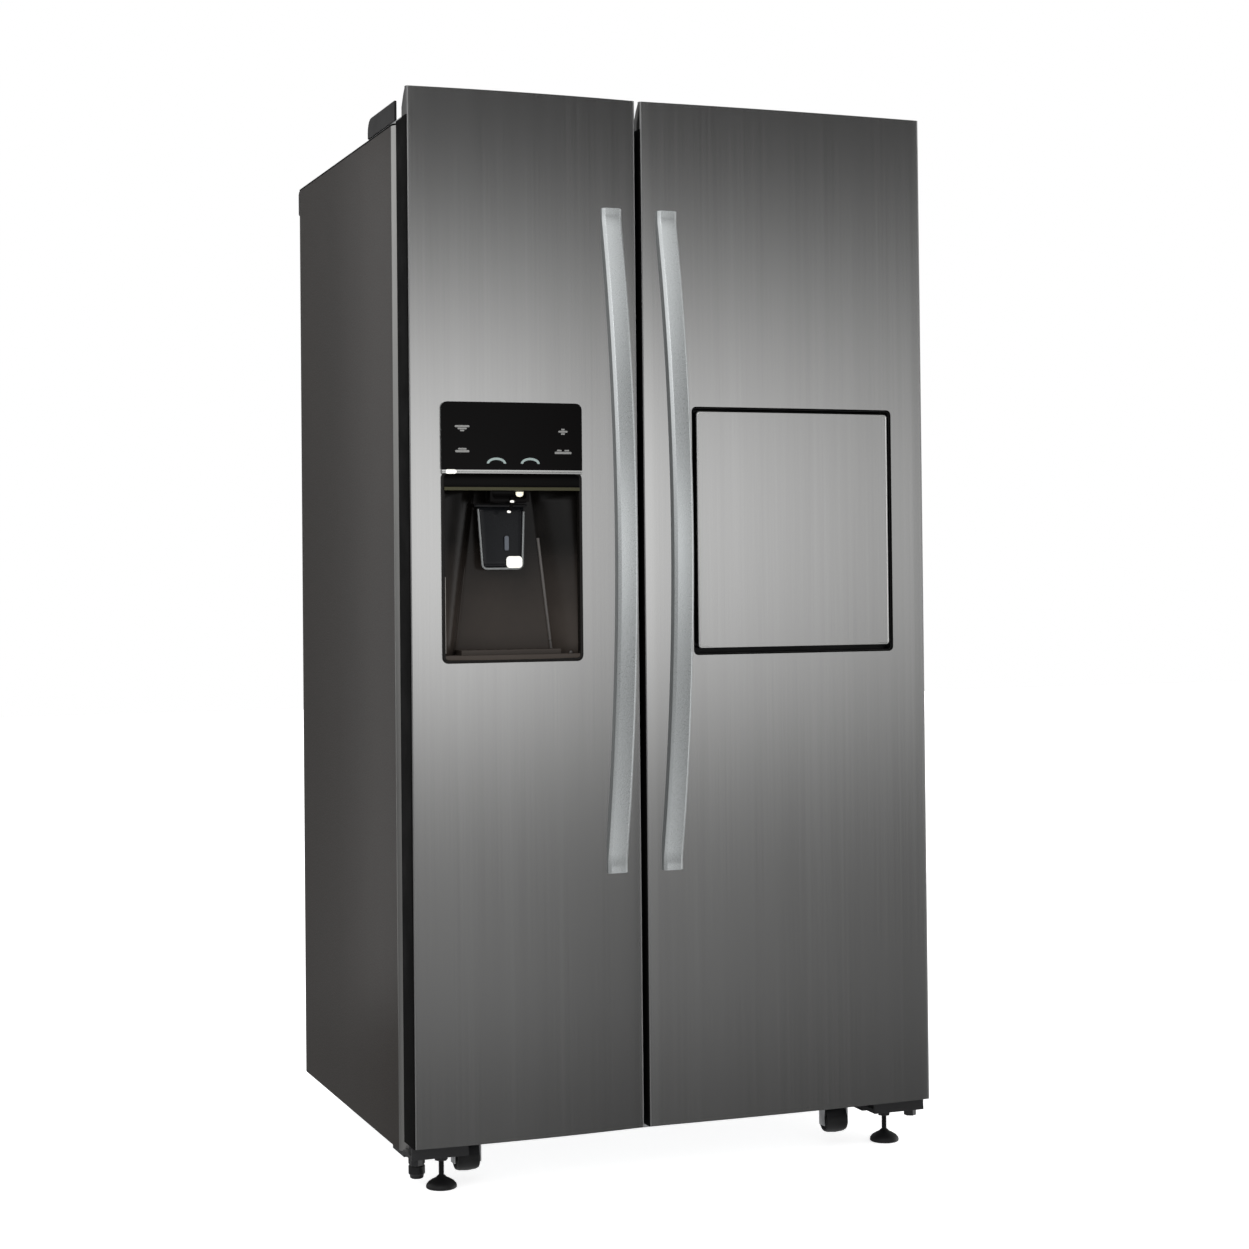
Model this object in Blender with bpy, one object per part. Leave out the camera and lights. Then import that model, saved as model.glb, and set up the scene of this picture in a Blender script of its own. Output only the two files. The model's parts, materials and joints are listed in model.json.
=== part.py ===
"""Side by side refrigerator: freezer on the left, fridge on the right.

Metres, +Z up. The doors face -Y, the origin is on the floor at the centre of the footprint.
"""
import math

import bmesh
import bpy
from mathutils import Matrix, Vector

# Driving dimensions
WIDTH = 0.910
BODY_DEPTH = 0.745
HANDLE_REACH = 0.074
REAR_TRIM_REACH = 0.030
DOOR_TOP = 1.760
DOOR_BOTTOM = 0.086
CABINET_TOP = 1.715
CABINET_BOTTOM = 0.066
DOOR_SPLIT_X = -0.0635
DOOR_GAP = 0.008
DOOR_THICKNESS = 0.060
CABINET_FRONT = 0.075

# Derived places: every depth is measured behind the doors' front face
DOOR_FRONT_Y = (HANDLE_REACH - BODY_DEPTH - REAR_TRIM_REACH) / 2
HALF_WIDTH = WIDTH / 2
CABINET_BACK = BODY_DEPTH

# Sheet metal and clearances
SHEET = 0.0012
CLEAR = 0.0003
CORNER_RADIUS = 0.016
CORNER_CHAMFER = 0.0135
SEAT = SHEET + CLEAR
CORE_INSET = 0.0026
SKIRT_TOP = 0.0982
TRIM_Z = (1.6700, 1.7165)

# Compartments
FREEZER_X = (-0.4017, -0.0918)
FRIDGE_X = (-0.0344, 0.4059)
CAVITY_FLOOR = 0.150
CAVITY_CEILING = 1.660
CAVITY_BACK = 0.690
STEP_DEPTH = 0.450
STEP_HEIGHT = 0.350
MACHINE_DEPTH = 0.500
MACHINE_HEIGHT = 0.300
LINER_WALL = 0.0015
LINER_FLANGE_Z = (0.0998, 1.7120)
DRAWER_DEPTHS = (0.215, 0.440)
DRAWER_Z = (0.1530, 0.3300)
DRAWER_FRONT_TOP = 0.345
DRAWER_WALL = 0.0025
FREEZER_SHELF_X = (-0.3970, -0.0965)
FREEZER_SHELF_Z = (1.3160, 1.3260)
FRIDGE_SHELF_X = (-0.0310, 0.4025)
FRIDGE_SHELF_Z = (1.0200, 1.0300)
COVER_DEPTHS = (0.600, 0.603)

# Door hinges
PIVOT_INSET = 0.015
PIVOT_DEPTH = 0.045
PIVOT_X = HALF_WIDTH - PIVOT_INSET
PIN_RADIUS = 0.005
PIN_HOLE_RADIUS = 0.0058
LIP_DEPTH = 0.026
SHOULDER = 1.714
CORE_Z = (0.1048, 1.6997)
GASKET_Z = (0.1280, 1.6840)
GASKET_WIDTH = 0.012
RIB_Z = (0.1600, 1.6500)
RIB_DEPTH = 0.105
BIN_Z = (0.420, 0.540)
BIN_BACK = 0.150

# Dispenser
DISPENSER_X = (-0.4040, -0.1685)
DISPENSER_Z = (0.8460, 1.2610)
DISPENSER_CENTRE = -0.2865
MOUTH_X = (-0.3965, -0.1760)
RECESS_DEPTH = 0.049
PANEL_BOTTOM = 1.1535
RECESS_TOP = 1.120
RECESS_FLOOR = 0.858
PADDLE_PIVOT = (0.038, 1.098)
PADDLE_LOW = 0.998
PADDLE_HALVES = (0.036, 0.041)
WINDOW_Z = (1.172, 1.248)
WINDOW_HALF = 0.036
CHUTE_HALF = 0.033

# Home bar
BAR_X = (0.0265, 0.3940)
BAR_Z = (0.8510, 1.2605)
FLAP_X = (0.0350, 0.3850)
FLAP_Z = (0.8630, 1.2520)
FLAP_THICKNESS = 0.020
FLAP_PIVOT = (0.006, 0.869)

# Handles
HANDLE_Z = (0.5020, 1.5800)
HANDLE_WIDTH = 0.034
HANDLE_THICKNESS = 0.014
HANDLE_CHAMFER = 0.004
HANDLE_PAD = 0.018
HANDLE_X = (-0.1135, -0.0165)

# Feet and rollers
FOOT_X = {"left": -0.386, "right": 0.412}
FOOT_DEPTH = 0.088
STEM_RADIUS = 0.0045
STEM_TOP = 0.082
ROLLER_RADIUS = 0.022
ROLLER_WIDTH = 0.038
FRONT_ROLLER = (0.333, 0.125, 0.036)
REAR_ROLLER = (0.355, 0.680, ROLLER_RADIUS)
AXLE_RADIUS = 0.003
COUPLER_PLACE = (-0.4180, 0.1200, 0)
COUPLER_RADIUS = 0.0135
COUPLER_Z = (0.0110, 0.0592)

# Hinge hardware
HINGE_PLATE_TOP = 1.7193
HINGE_COVER_Z = (1.7196, 1.7520)
HINGE_COVER_DEPTHS = (0.080, 0.250)
HINGE_COVER_WIDTHS = (0.004, 0.050)
HINGE_COVER_X = 0.4520
BRACKET_X = (0.3600, 0.4535)

# Fans and ice auger
CONDENSER_FAN_CENTRE = (-0.030, 0.622, 0.180)
EVAPORATOR_FAN_CENTRE = (-0.2467, 0.632, 1.450)
AUGER_CENTRE = (DISPENSER_CENTRE, 1.372)
AUGER_RADIUS = 0.026
AUGER_START = 0.226
AUGER_LENGTH = 0.330
AUGER_TURNS = 4

MATERIALS = {
    "door_steel": ((0.42, 0.42, 0.41), 0.32, 1.0),
    "handle_metal": ((0.72, 0.73, 0.73), 0.25, 1.0),
    "cabinet_paint": ((0.075, 0.070, 0.066), 0.45, 0.3),
    "galvanised": ((0.55, 0.56, 0.57), 0.45, 1.0),
    "black_steel": ((0.015, 0.015, 0.016), 0.5, 0.4),
    "black_plastic": ((0.014, 0.014, 0.015), 0.5, 0.0),
    "gloss_black": ((0.008, 0.007, 0.007), 0.08, 0.0),
    "grey_plastic": ((0.16, 0.16, 0.16), 0.5, 0.0),
    "white_liner": ((0.85, 0.86, 0.87), 0.4, 0.0),
    "foam": ((0.85, 0.72, 0.42), 0.9, 0.0),
    "gasket_rubber": ((0.09, 0.09, 0.09), 0.7, 0.0),
    "clear_plastic": ((0.75, 0.82, 0.86), 0.12, 0.0),
    "shelf_glass": ((0.70, 0.82, 0.80), 0.05, 0.0),
    "aluminium": ((0.78, 0.79, 0.80), 0.35, 1.0),
}


def clear_scene():
    for obj in list(bpy.data.objects):
        bpy.data.objects.remove(obj, do_unlink=True)


def material(name):
    found = bpy.data.materials.get(name)
    if found:
        return found
    colour, roughness, metallic = MATERIALS[name]
    made = bpy.data.materials.new(name)
    made.use_nodes = True
    shader = made.node_tree.nodes["Principled BSDF"]
    shader.inputs["Base Color"].default_value = (*colour, 1.0)
    shader.inputs["Roughness"].default_value = roughness
    shader.inputs["Metallic"].default_value = metallic
    return made


def behind(depth):
    """World Y of a point this far behind the doors' front face."""
    return DOOR_FRONT_Y + depth


# Mesh makers: each returns a closed mesh in world coordinates

def finish_mesh(bm, smooth=False):
    bmesh.ops.recalc_face_normals(bm, faces=bm.faces)
    mesh = bpy.data.meshes.new("shape")
    bm.to_mesh(mesh)
    bm.free()
    if smooth:
        mesh.shade_smooth()
        mesh.set_sharp_from_angle(angle=math.radians(40))
    return mesh


def cuboid(xs, depths, zs):
    """A box from ranges of x, of depth behind the door face, and of z."""
    bm = bmesh.new()
    bmesh.ops.create_cube(bm, size=1.0)
    size = (xs[1] - xs[0], depths[1] - depths[0], zs[1] - zs[0])
    centre = (sum(xs) / 2, behind(sum(depths) / 2), sum(zs) / 2)
    bmesh.ops.scale(bm, verts=bm.verts, vec=size)
    bmesh.ops.translate(bm, verts=bm.verts, vec=centre)
    return finish_mesh(bm)


def hexahedron(front, back):
    """A block between two four-cornered faces, each corner an (x, depth, z)."""
    bm = bmesh.new()
    near = [bm.verts.new((x, behind(d), z)) for x, d, z in front]
    far = [bm.verts.new((x, behind(d), z)) for x, d, z in back]
    bm.faces.new(near)
    bm.faces.new(far[::-1])
    for i in range(4):
        j = (i + 1) % 4
        bm.faces.new((near[j], near[i], far[i], far[j]))
    return finish_mesh(bm)


def to_world(u, v, along, axis):
    """A point of an outline, carried along its extrusion axis."""
    if axis == "X":
        return (along, behind(u), v)
    if axis == "Y":
        return (u, behind(along), v)
    return (u, behind(v), along)


def prism(outline, span, axis, smooth=False):
    """An outline extruded along X (depth, z), along Y (x, z) or along Z (x, depth)."""
    bm = bmesh.new()
    ends = []
    for along in span:
        ends.append([bm.verts.new(to_world(u, v, along, axis)) for u, v in outline])
    bm.faces.new(ends[0][::-1])
    bm.faces.new(ends[1])
    for i in range(len(outline)):
        j = (i + 1) % len(outline)
        bm.faces.new((ends[0][i], ends[0][j], ends[1][j], ends[1][i]))
    return finish_mesh(bm, smooth)


def ring(outer, inner, span, axis):
    """A frame between two outlines with the same number of points."""
    bm = bmesh.new()
    loops = []
    for along in span:
        for outline in (outer, inner):
            loops.append([bm.verts.new(to_world(u, v, along, axis)) for u, v in outline])
    outer_low, inner_low, outer_high, inner_high = loops
    for first, second in (
        (outer_low, inner_low),
        (outer_high, inner_high),
        (outer_low, outer_high),
        (inner_low, inner_high),
    ):
        for i in range(len(outer)):
            j = (i + 1) % len(outer)
            bm.faces.new((first[i], first[j], second[j], second[i]))
    return finish_mesh(bm)


def turned(profile, centre, axis, steps=18, hollow=False):
    """A profile of (radius, distance along the axis) turned about X, Y or Z."""
    bm = bmesh.new()
    rings = []
    for radius, along in profile:
        count = steps if radius > 0 else 1
        loop = []
        for i in range(count):
            angle = 2 * math.pi * i / steps - math.pi / 2
            u = radius * math.cos(angle)
            v = radius * math.sin(angle)
            offset = {"X": (along, u, v), "Y": (u, along, v), "Z": (u, v, along)}[axis]
            point = Vector((centre[0], behind(centre[1]), centre[2])) + Vector(offset)
            loop.append(bm.verts.new(point))
        rings.append(loop)
    pairs = list(zip(rings, rings[1:]))
    if hollow:
        pairs.append((rings[-1], rings[0]))
    for first, second in pairs:
        for i in range(steps):
            j = (i + 1) % steps
            corners = [first[i % len(first)], first[j % len(first)],
                       second[j % len(second)], second[i % len(second)]]
            unique = list(dict.fromkeys(corners))
            bm.faces.new(unique)
    return finish_mesh(bm, smooth=True)


def rod(radius, start, end, centre, axis, steps=16):
    return turned([(0, start), (radius, start), (radius, end), (0, end)], centre, axis, steps)


def swept(points, radius, sides=6):
    """A round wire or pipe that follows points of (x, depth, z)."""
    path = [Vector((x, behind(d), z)) for x, d, z in points]
    bm = bmesh.new()
    loops = []
    side = None
    for i, point in enumerate(path):
        tangent = (path[min(i + 1, len(path) - 1)] - path[max(i - 1, 0)]).normalized()
        if side is None:
            side = tangent.orthogonal().normalized()
        side = (side - tangent * side.dot(tangent)).normalized()
        up = tangent.cross(side)
        loop = []
        for k in range(sides):
            angle = 2 * math.pi * k / sides
            loop.append(bm.verts.new(point + radius * (math.cos(angle) * side + math.sin(angle) * up)))
        loops.append(loop)
    for first, second in zip(loops, loops[1:]):
        for i in range(sides):
            j = (i + 1) % sides
            bm.faces.new((first[i], first[j], second[j], second[i]))
    bm.faces.new(loops[0][::-1])
    bm.faces.new(loops[-1])
    return finish_mesh(bm, smooth=True)


# Outlines

def arc(centre, radius, start_deg, end_deg, steps=4):
    points = []
    for i in range(steps + 1):
        angle = math.radians(start_deg + (end_deg - start_deg) * i / steps)
        points.append((centre[0] + radius * math.cos(angle), centre[1] + radius * math.sin(angle)))
    return points


def rectangle(us, vs):
    return [(us[0], vs[0]), (us[1], vs[0]), (us[1], vs[1]), (us[0], vs[1])]


def rounded_rectangle(us, vs, radius, steps=4):
    left, right = us[0] + radius, us[1] - radius
    low, high = vs[0] + radius, vs[1] - radius
    return (
        arc((right, low), radius, -90, 0, steps)
        + arc((right, high), radius, 0, 90, steps)
        + arc((left, high), radius, 90, 180, steps)
        + arc((left, low), radius, 180, 270, steps)
    )


def inset(span, by):
    return (span[0] + by, span[1] - by)


# Objects

def joint_empty(name, place, parent=None):
    """An empty on a joint's axis; what hangs from it turns or slides with it."""
    empty = bpy.data.objects.new(name, None)
    empty.empty_display_size = 0.05
    bpy.context.scene.collection.objects.link(empty)
    world = Vector((place[0], behind(place[1]), place[2]))
    empty["world"] = tuple(world)
    if parent:
        empty.parent = parent
        empty.location = world - Vector(parent["world"])
    else:
        empty.location = world
    return empty


def add(name, mesh, slot, parent=None):
    """A named piece, with its origin on its joint's axis, or else at its own centre."""
    obj = bpy.data.objects.new(name, mesh)
    mesh.name = name
    bpy.context.scene.collection.objects.link(obj)
    if slot:
        mesh.materials.append(material(slot))
    if parent:
        origin = Vector(parent["world"])
        obj.parent = parent
    else:
        corners = [Vector(corner) for corner in obj.bound_box]
        origin = sum(corners, Vector()) / len(corners)
        obj.location = origin
    mesh.transform(Matrix.Translation(-origin))
    return obj


def combine(obj, mesh, operation):
    """Join a shape to a piece, or cut it out, with a boolean that stays on the piece."""
    tool = add(f"{obj.name}_tool_{len(obj.modifiers)}", mesh, None)
    tool.display_type = "WIRE"
    tool.hide_render = True
    modifier = obj.modifiers.new(operation.lower(), "BOOLEAN")
    modifier.operation = operation
    modifier.solver = "EXACT"
    modifier.object = tool


def fuse(obj, *meshes):
    for mesh in meshes:
        combine(obj, mesh, "UNION")


def cut(obj, *meshes):
    for mesh in meshes:
        combine(obj, mesh, "DIFFERENCE")


def open_box(name, spans, wall, slot, parent=None):
    """A tray, bin or drawer, from its ranges of x, depth and z: four walls and a floor."""
    xs, depths, zs = spans
    tray = add(name, cuboid(xs, depths, zs), slot, parent)
    cut(tray, cuboid(inset(xs, wall), inset(depths, wall), (zs[0] + wall, zs[1] + wall)))
    return tray


# Cabinet

def side_panel(name, side):
    """A folded sheet: rounded front corner and flange, flat side, narrow rear flange."""
    front_flange = 0.025
    rear_flange = 0.012
    edge = HALF_WIDTH
    centre = (edge - CORNER_RADIUS, CABINET_FRONT + CORNER_RADIUS)
    outline = [(edge - front_flange, CABINET_FRONT)]
    outline += arc(centre, CORNER_RADIUS, -90, 0, 6)
    outline += [
        (edge, CABINET_BACK),
        (edge - rear_flange, CABINET_BACK),
        (edge - rear_flange, CABINET_BACK - SHEET),
        (edge - SHEET, CABINET_BACK - SHEET),
    ]
    outline += arc(centre, CORNER_RADIUS - SHEET, 0, -90, 6)
    outline += [(edge - front_flange, CABINET_FRONT + SHEET)]
    outline = [(side * x, depth) for x, depth in outline]
    add(name, prism(outline, (CABINET_BOTTOM, CABINET_TOP), "Z", smooth=True), "cabinet_paint")


def inside_plan(front, back):
    """Plan view of what fills the casing, clear of its rounded front corners."""
    edge = HALF_WIDTH - SEAT
    corner = CORNER_CHAMFER
    return [
        (-edge, back), (edge, back), (edge, front + corner),
        (edge - corner, front), (corner - edge, front), (-edge, front + corner),
    ]


def cabinet_sheets():
    side_panel("side_panel_left", -1)
    side_panel("side_panel_right", 1)
    inner = (-HALF_WIDTH + SEAT, HALF_WIDTH - SEAT)
    top_outline = inside_plan(CABINET_FRONT + SEAT, CABINET_BACK - SEAT)
    add("top_panel", prism(top_outline, (CABINET_TOP - SHEET, CABINET_TOP), "Z"), "cabinet_paint")
    back_depths = (CABINET_BACK - SEAT - SHEET, CABINET_BACK - SEAT)
    back_zs = (MACHINE_HEIGHT + 0.002, CABINET_TOP - SEAT)
    add("back_panel", cuboid(inner, back_depths, back_zs), "galvanised")


def roller_bracket(place, side):
    """The two ears that hold one roller, with their bridge, and the axle through them."""
    x, depth, z = place
    x *= side
    reach = ROLLER_WIDTH / 2 + 0.0015
    ear = 0.003
    top = CABINET_BOTTOM + 0.0012
    low = z - 0.008
    outline = [
        (x - reach - ear, low), (x - reach, low), (x - reach, top - 0.003), (x + reach, top - 0.003),
        (x + reach, low), (x + reach + ear, low), (x + reach + ear, top), (x - reach - ear, top),
    ]
    bracket = prism(outline, (depth - 0.009, depth + 0.009), "Y")
    half = reach + ear / 2
    axle = rod(AXLE_RADIUS, -half, half, (x, depth, z), "X", 12)
    return bracket, axle


def base_pan():
    """The bottom tray that closes the skirt and carries the roller brackets."""
    front, back = CABINET_FRONT + SEAT, CABINET_BACK - 0.004
    floor = CABINET_BOTTOM + 0.0005
    upper = floor + 0.0015
    outline = [
        (front, SKIRT_TOP), (front, floor), (back, floor),
        (back, upper), (front + SHEET, upper), (front + SHEET, SKIRT_TOP),
    ]
    inner = inset((-HALF_WIDTH, HALF_WIDTH), CORNER_CHAMFER + 0.002)
    pan = add("base_pan", prism(outline, inner, "X"), "galvanised")
    for place in (FRONT_ROLLER, REAR_ROLLER):
        for side in (-1, 1):
            fuse(pan, *roller_bracket(place, side))
    for x in FOOT_X.values():
        cut(pan, rod(STEM_RADIUS + 0.002, 0.06, 0.08, (x, FOOT_DEPTH, 0), "Z"))


def cavity_outline(grow=0.0, front=0.0):
    """Side view of a compartment, which steps up over the machine room."""
    return [
        (front, CAVITY_FLOOR - grow), (STEP_DEPTH + grow, CAVITY_FLOOR - grow),
        (STEP_DEPTH + grow, STEP_HEIGHT - grow), (CAVITY_BACK + grow, STEP_HEIGHT - grow),
        (CAVITY_BACK + grow, CAVITY_CEILING + grow), (front, CAVITY_CEILING + grow),
    ]


def foam_insulation():
    outline = inside_plan(CABINET_FRONT + 0.0030, CABINET_BACK - 0.0030)
    block = add("foam_insulation", prism(outline, (SKIRT_TOP + CLEAR, CABINET_TOP - SEAT), "Z"), "foam")
    cut(block, cuboid((-1, 1), (MACHINE_DEPTH, 1), (0, MACHINE_HEIGHT)))
    for xs in (FREEZER_X, FRIDGE_X):
        cut(block, prism(cavity_outline(), xs, "X"))


def compartment_liner(name, xs, flange_x):
    """A thin moulded shell with a flange round its mouth."""
    front = CABINET_FRONT + SEAT
    shell = add(name, prism(cavity_outline(-CLEAR, front), inset(xs, CLEAR), "X"), "white_liner")
    fuse(shell, cuboid(flange_x, (front, front + SHEET), LINER_FLANGE_Z))
    wall = CLEAR + LINER_WALL
    cut(shell, prism(cavity_outline(-wall), inset(xs, wall), "X"))


def rear_top_trim():
    """The plastic bar that keeps the cabinet's top off the wall."""
    near = CABINET_BACK + CLEAR
    far = CABINET_BACK + REAR_TRIM_REACH
    low, high = TRIM_Z
    outline = [
        (near, low), (far - 0.003, low), (far, low + 0.004),
        (far, high - 0.0055), (far - 0.006, high), (near, high),
    ]
    add("rear_top_trim", prism(outline, (-0.450, 0.450), "X"), "black_plastic")


def machine_room_cover():
    """The slotted cover over the compressor, with a round hole for the mains lead."""
    inner = (-HALF_WIDTH + SEAT, HALF_WIDTH - SEAT)
    depths = (CABINET_BACK - SEAT - SHEET, CABINET_BACK - SEAT)
    cover = add("machine_room_cover", cuboid(inner, depths, (0.072, 0.300)), "galvanised")
    slots = bmesh.new()
    for bank in (-0.24, 0.24):
        for i in range(9):
            x = bank + (i - 4) * 0.030
            shape = cuboid((x - 0.004, x + 0.004), (depths[0] - 0.01, depths[1] + 0.01), (0.120, 0.250))
            slots.from_mesh(shape)
    cut(cover, finish_mesh(slots))
    cut(cover, rod(0.010, depths[0] - 0.01, depths[1] + 0.01, (0.405, 0, 0.190), "Y", 12))


def serpentine(xs, zs, depth, passes):
    """Points of a pipe that runs to and fro in x while it climbs in z."""
    points = []
    rise = (zs[1] - zs[0]) / (passes - 1)
    for i in range(passes):
        z = zs[0] + i * rise
        ends = xs if i % 2 == 0 else xs[::-1]
        direction = 1 if ends[1] > ends[0] else -1
        points.append((ends[0], depth, z))
        points.append((ends[1], depth, z))
        if i < passes - 1:
            points.append((ends[1] + direction * rise * 0.45, depth, z + rise * 0.25))
            points.append((ends[1] + direction * rise * 0.45, depth, z + rise * 0.75))
    return points


def machine_room():
    can = [(0, 0), (0.070, 0), (0.082, 0.012), (0.086, 0.070), (0.082, 0.120), (0.055, 0.148), (0, 0.156)]
    place = (0.230, 0.622, 0.0735)
    compressor = add("compressor", turned(can, place, "Z", 20), "black_steel")
    fuse(compressor, cuboid((0.120, 0.340), (0.560, 0.684), (0.0690, 0.0760)))
    coil = serpentine((-0.385, -0.135), (0.100, 0.240), 0.640, 7)
    add("condenser_coil", swept(coil, 0.0045), "black_steel")
    x, depth, z = CONDENSER_FAN_CENTRE
    can = rod(0.030, 0.020, 0.070, CONDENSER_FAN_CENTRE, "X", 16)
    motor = add("condenser_fan_motor", can, "black_steel")
    fuse(
        motor,
        rod(0.0025, -0.008, 0.025, CONDENSER_FAN_CENTRE, "X", 12),
        cuboid((x + 0.030, x + 0.058), (depth - 0.012, depth + 0.012), (0.0686, z)),
        cuboid((x + 0.020, x + 0.068), (depth - 0.040, depth + 0.040), (0.0686, 0.0720)),
    )


def fan_mesh(centre, axis, tip_radius, hub_radius, blades):
    """A hub and pitched blades drawn as one outline, with a hole for the shaft."""
    steps = blades * 6
    bm = bmesh.new()
    layers = []
    for half in (-0.5, 0.5):
        outer, inner = [], []
        for i in range(steps):
            share = (i % 6) / 6
            radius = tip_radius if i % 6 < 4 else hub_radius
            angle = 2 * math.pi * i / steps
            pitch = (share - 0.25) * 0.030 if i % 6 < 4 else 0.0
            for loop, reach, lift in ((outer, radius, pitch), (inner, 0.0032, 0.0)):
                u = reach * math.cos(angle)
                v = reach * math.sin(angle)
                w = lift + half * (0.003 if loop is outer else 0.012)
                offset = (w, u, v) if axis == "X" else (u, w, v)
                point = Vector((centre[0], behind(centre[1]), centre[2])) + Vector(offset)
                loop.append(bm.verts.new(point))
        layers += [outer, inner]
    low_outer, low_inner, high_outer, high_inner = layers
    for first, second in (
        (low_outer, low_inner),
        (high_outer, high_inner),
        (low_outer, high_outer),
        (low_inner, high_inner),
    ):
        for i in range(steps):
            j = (i + 1) % steps
            bm.faces.new((first[i], first[j], second[j], second[i]))
    return finish_mesh(bm)


def fans():
    condenser_axis = joint_empty("condenser_fan_axis", CONDENSER_FAN_CENTRE)
    blades = fan_mesh(CONDENSER_FAN_CENTRE, "X", 0.070, 0.020, 5)
    add("condenser_fan", blades, "black_plastic", condenser_axis)
    evaporator_axis = joint_empty("evaporator_fan_axis", EVAPORATOR_FAN_CENTRE)
    blades = fan_mesh(EVAPORATOR_FAN_CENTRE, "Y", 0.052, 0.016, 5)
    add("evaporator_fan", blades, "white_liner", evaporator_axis)


def evaporator():
    """The cold coil behind its cover, and the cover with its fan boss and air slots."""
    xs = (-0.3975, -0.0960)
    cover = add("evaporator_cover", cuboid(xs, COVER_DEPTHS, (0.3540, 1.6540)), "white_liner")
    centre = EVAPORATOR_FAN_CENTRE
    x = centre[0]
    fuse(
        cover,
        rod(0.018, 0.602 - centre[1], -0.010, centre, "Y", 12),
        rod(0.0025, -0.015, 0.009, centre, "Y", 12),
    )
    slots = bmesh.new()
    for bank in (0.380, 1.545):
        for i in range(5):
            low = bank + i * 0.016
            slots.from_mesh(cuboid((x - 0.090, x + 0.090), inset(COVER_DEPTHS, -0.01), (low, low + 0.007)))
    cut(cover, finish_mesh(slots))
    coil = serpentine((-0.345, -0.150), (0.620, 1.200), 0.645, 11)
    add("evaporator_coil", swept(coil, 0.0055), "aluminium")


def ice_maker():
    """The ice bucket on its shelf, and the wire auger that pushes ice to the chute."""
    x, z = AUGER_CENTRE
    shelf = cuboid(FREEZER_SHELF_X, (0.190, COVER_DEPTHS[0] - 0.003), FREEZER_SHELF_Z)
    add("freezer_shelf", shelf, "shelf_glass")
    bucket_spans = ((-0.375, -0.120), (0.205, 0.585), (FREEZER_SHELF_Z[1] + CLEAR, 1.520))
    bucket = open_box("ice_bucket", bucket_spans, 0.003, "clear_plastic")
    cut(
        bucket,
        cuboid((x - 0.032, x + 0.032), (0.200, 0.210), (1.336, 1.400)),
        rod(0.008, 0.575, 0.590, (x, 0, z), "Y", 12),
    )
    points = [(x, 0.214, z)]
    steps = AUGER_TURNS * 8
    for i in range(steps + 1):
        angle = 2 * math.pi * i / 8
        along = AUGER_START + AUGER_LENGTH * i / steps
        points.append((x + AUGER_RADIUS * math.cos(angle), along, z + AUGER_RADIUS * math.sin(angle)))
    points += [(x, 0.566, z), (x, 0.594, z)]
    axis = joint_empty("ice_auger_axis", (x, 0.400, z))
    add("ice_auger", swept(points, 0.004), "aluminium", axis)


def drawer(name, xs):
    """An open drawer with a taller front."""
    front, low = DRAWER_DEPTHS[0], DRAWER_Z[0]
    axis = joint_empty(f"{name}_slide", (sum(xs) / 2, front, low))
    box = open_box(name, (xs, DRAWER_DEPTHS, DRAWER_Z), DRAWER_WALL, "clear_plastic", axis)
    fuse(box, cuboid(xs, (front - 0.004, front + DRAWER_WALL - 0.0001), (low, DRAWER_FRONT_TOP)))


def shelves_and_drawers():
    drawer("freezer_drawer", (-0.3930, -0.1010))
    drawer("crisper_drawer", (-0.0260, 0.3975))
    glass = cuboid(FRIDGE_SHELF_X, (0.190, CAVITY_BACK - 0.010), FRIDGE_SHELF_Z)
    shelf = add("fridge_shelf", glass, "shelf_glass")
    low, high = FRIDGE_SHELF_Z
    fuse(shelf, cuboid(FRIDGE_SHELF_X, (0.186, 0.194), (low - 0.0080, high + 0.0060)))


# Hinges, feet and rollers

def top_hinge(name, side):
    """A flat plate on the cabinet's top, whose nose carries the door's upper pin."""
    nose = 0.010
    outline = [(PIVOT_X + nose, 0.248)]
    outline += arc((PIVOT_X, PIVOT_DEPTH), nose, 0, -180, 8)
    outline += [(0.398, 0.079), (0.382, 0.079), (0.382, 0.248)]
    outline = [(side * x, depth) for x, depth in outline]
    plate = add(name, prism(outline, (CABINET_TOP + CLEAR, HINGE_PLATE_TOP), "Z"), "galvanised")
    fuse(plate, rod(PIN_RADIUS, 1.7010, 1.7170, (side * PIVOT_X, PIVOT_DEPTH, 0), "Z", 12))


def hinge_cover(name, side):
    """A hollow moulded cap over the hinge plate: a wedge in plan, rounded at its rear top edge."""
    low, high = HINGE_COVER_Z
    front, back = HINGE_COVER_DEPTHS
    front_width, back_width = HINGE_COVER_WIDTHS
    outer = HINGE_COVER_X
    radius, wall = 0.022, 0.002

    def wedge(outline, inward):
        bm = bmesh.new()
        ends = [[], []]
        for depth, z in outline:
            share = (depth - front) / (back - front)
            width = front_width + (back_width - front_width) * share
            for end, x in zip(ends, (outer - inward, outer - width + inward)):
                end.append(bm.verts.new((side * x, behind(depth), z)))
        bm.faces.new(ends[0])
        bm.faces.new(ends[1][::-1])
        for i in range(len(outline)):
            j = (i + 1) % len(outline)
            bm.faces.new((ends[0][i], ends[1][i], ends[1][j], ends[0][j]))
        return finish_mesh(bm, smooth=True)

    crest = arc((back - radius, high - radius), radius, 0, 90, 5)
    cap = add(name, wedge([(front, low), (back, low)] + crest + [(front, high)], 0.0), "black_plastic")
    hollow_front = front + 0.020
    crest = arc((back - radius, high - radius), radius - wall, 0, 90, 5)
    hollow = [(hollow_front, low - 0.01), (back - wall, low - 0.01)] + crest + [(hollow_front, high - wall)]
    cut(cap, wedge(hollow, wall))


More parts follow.
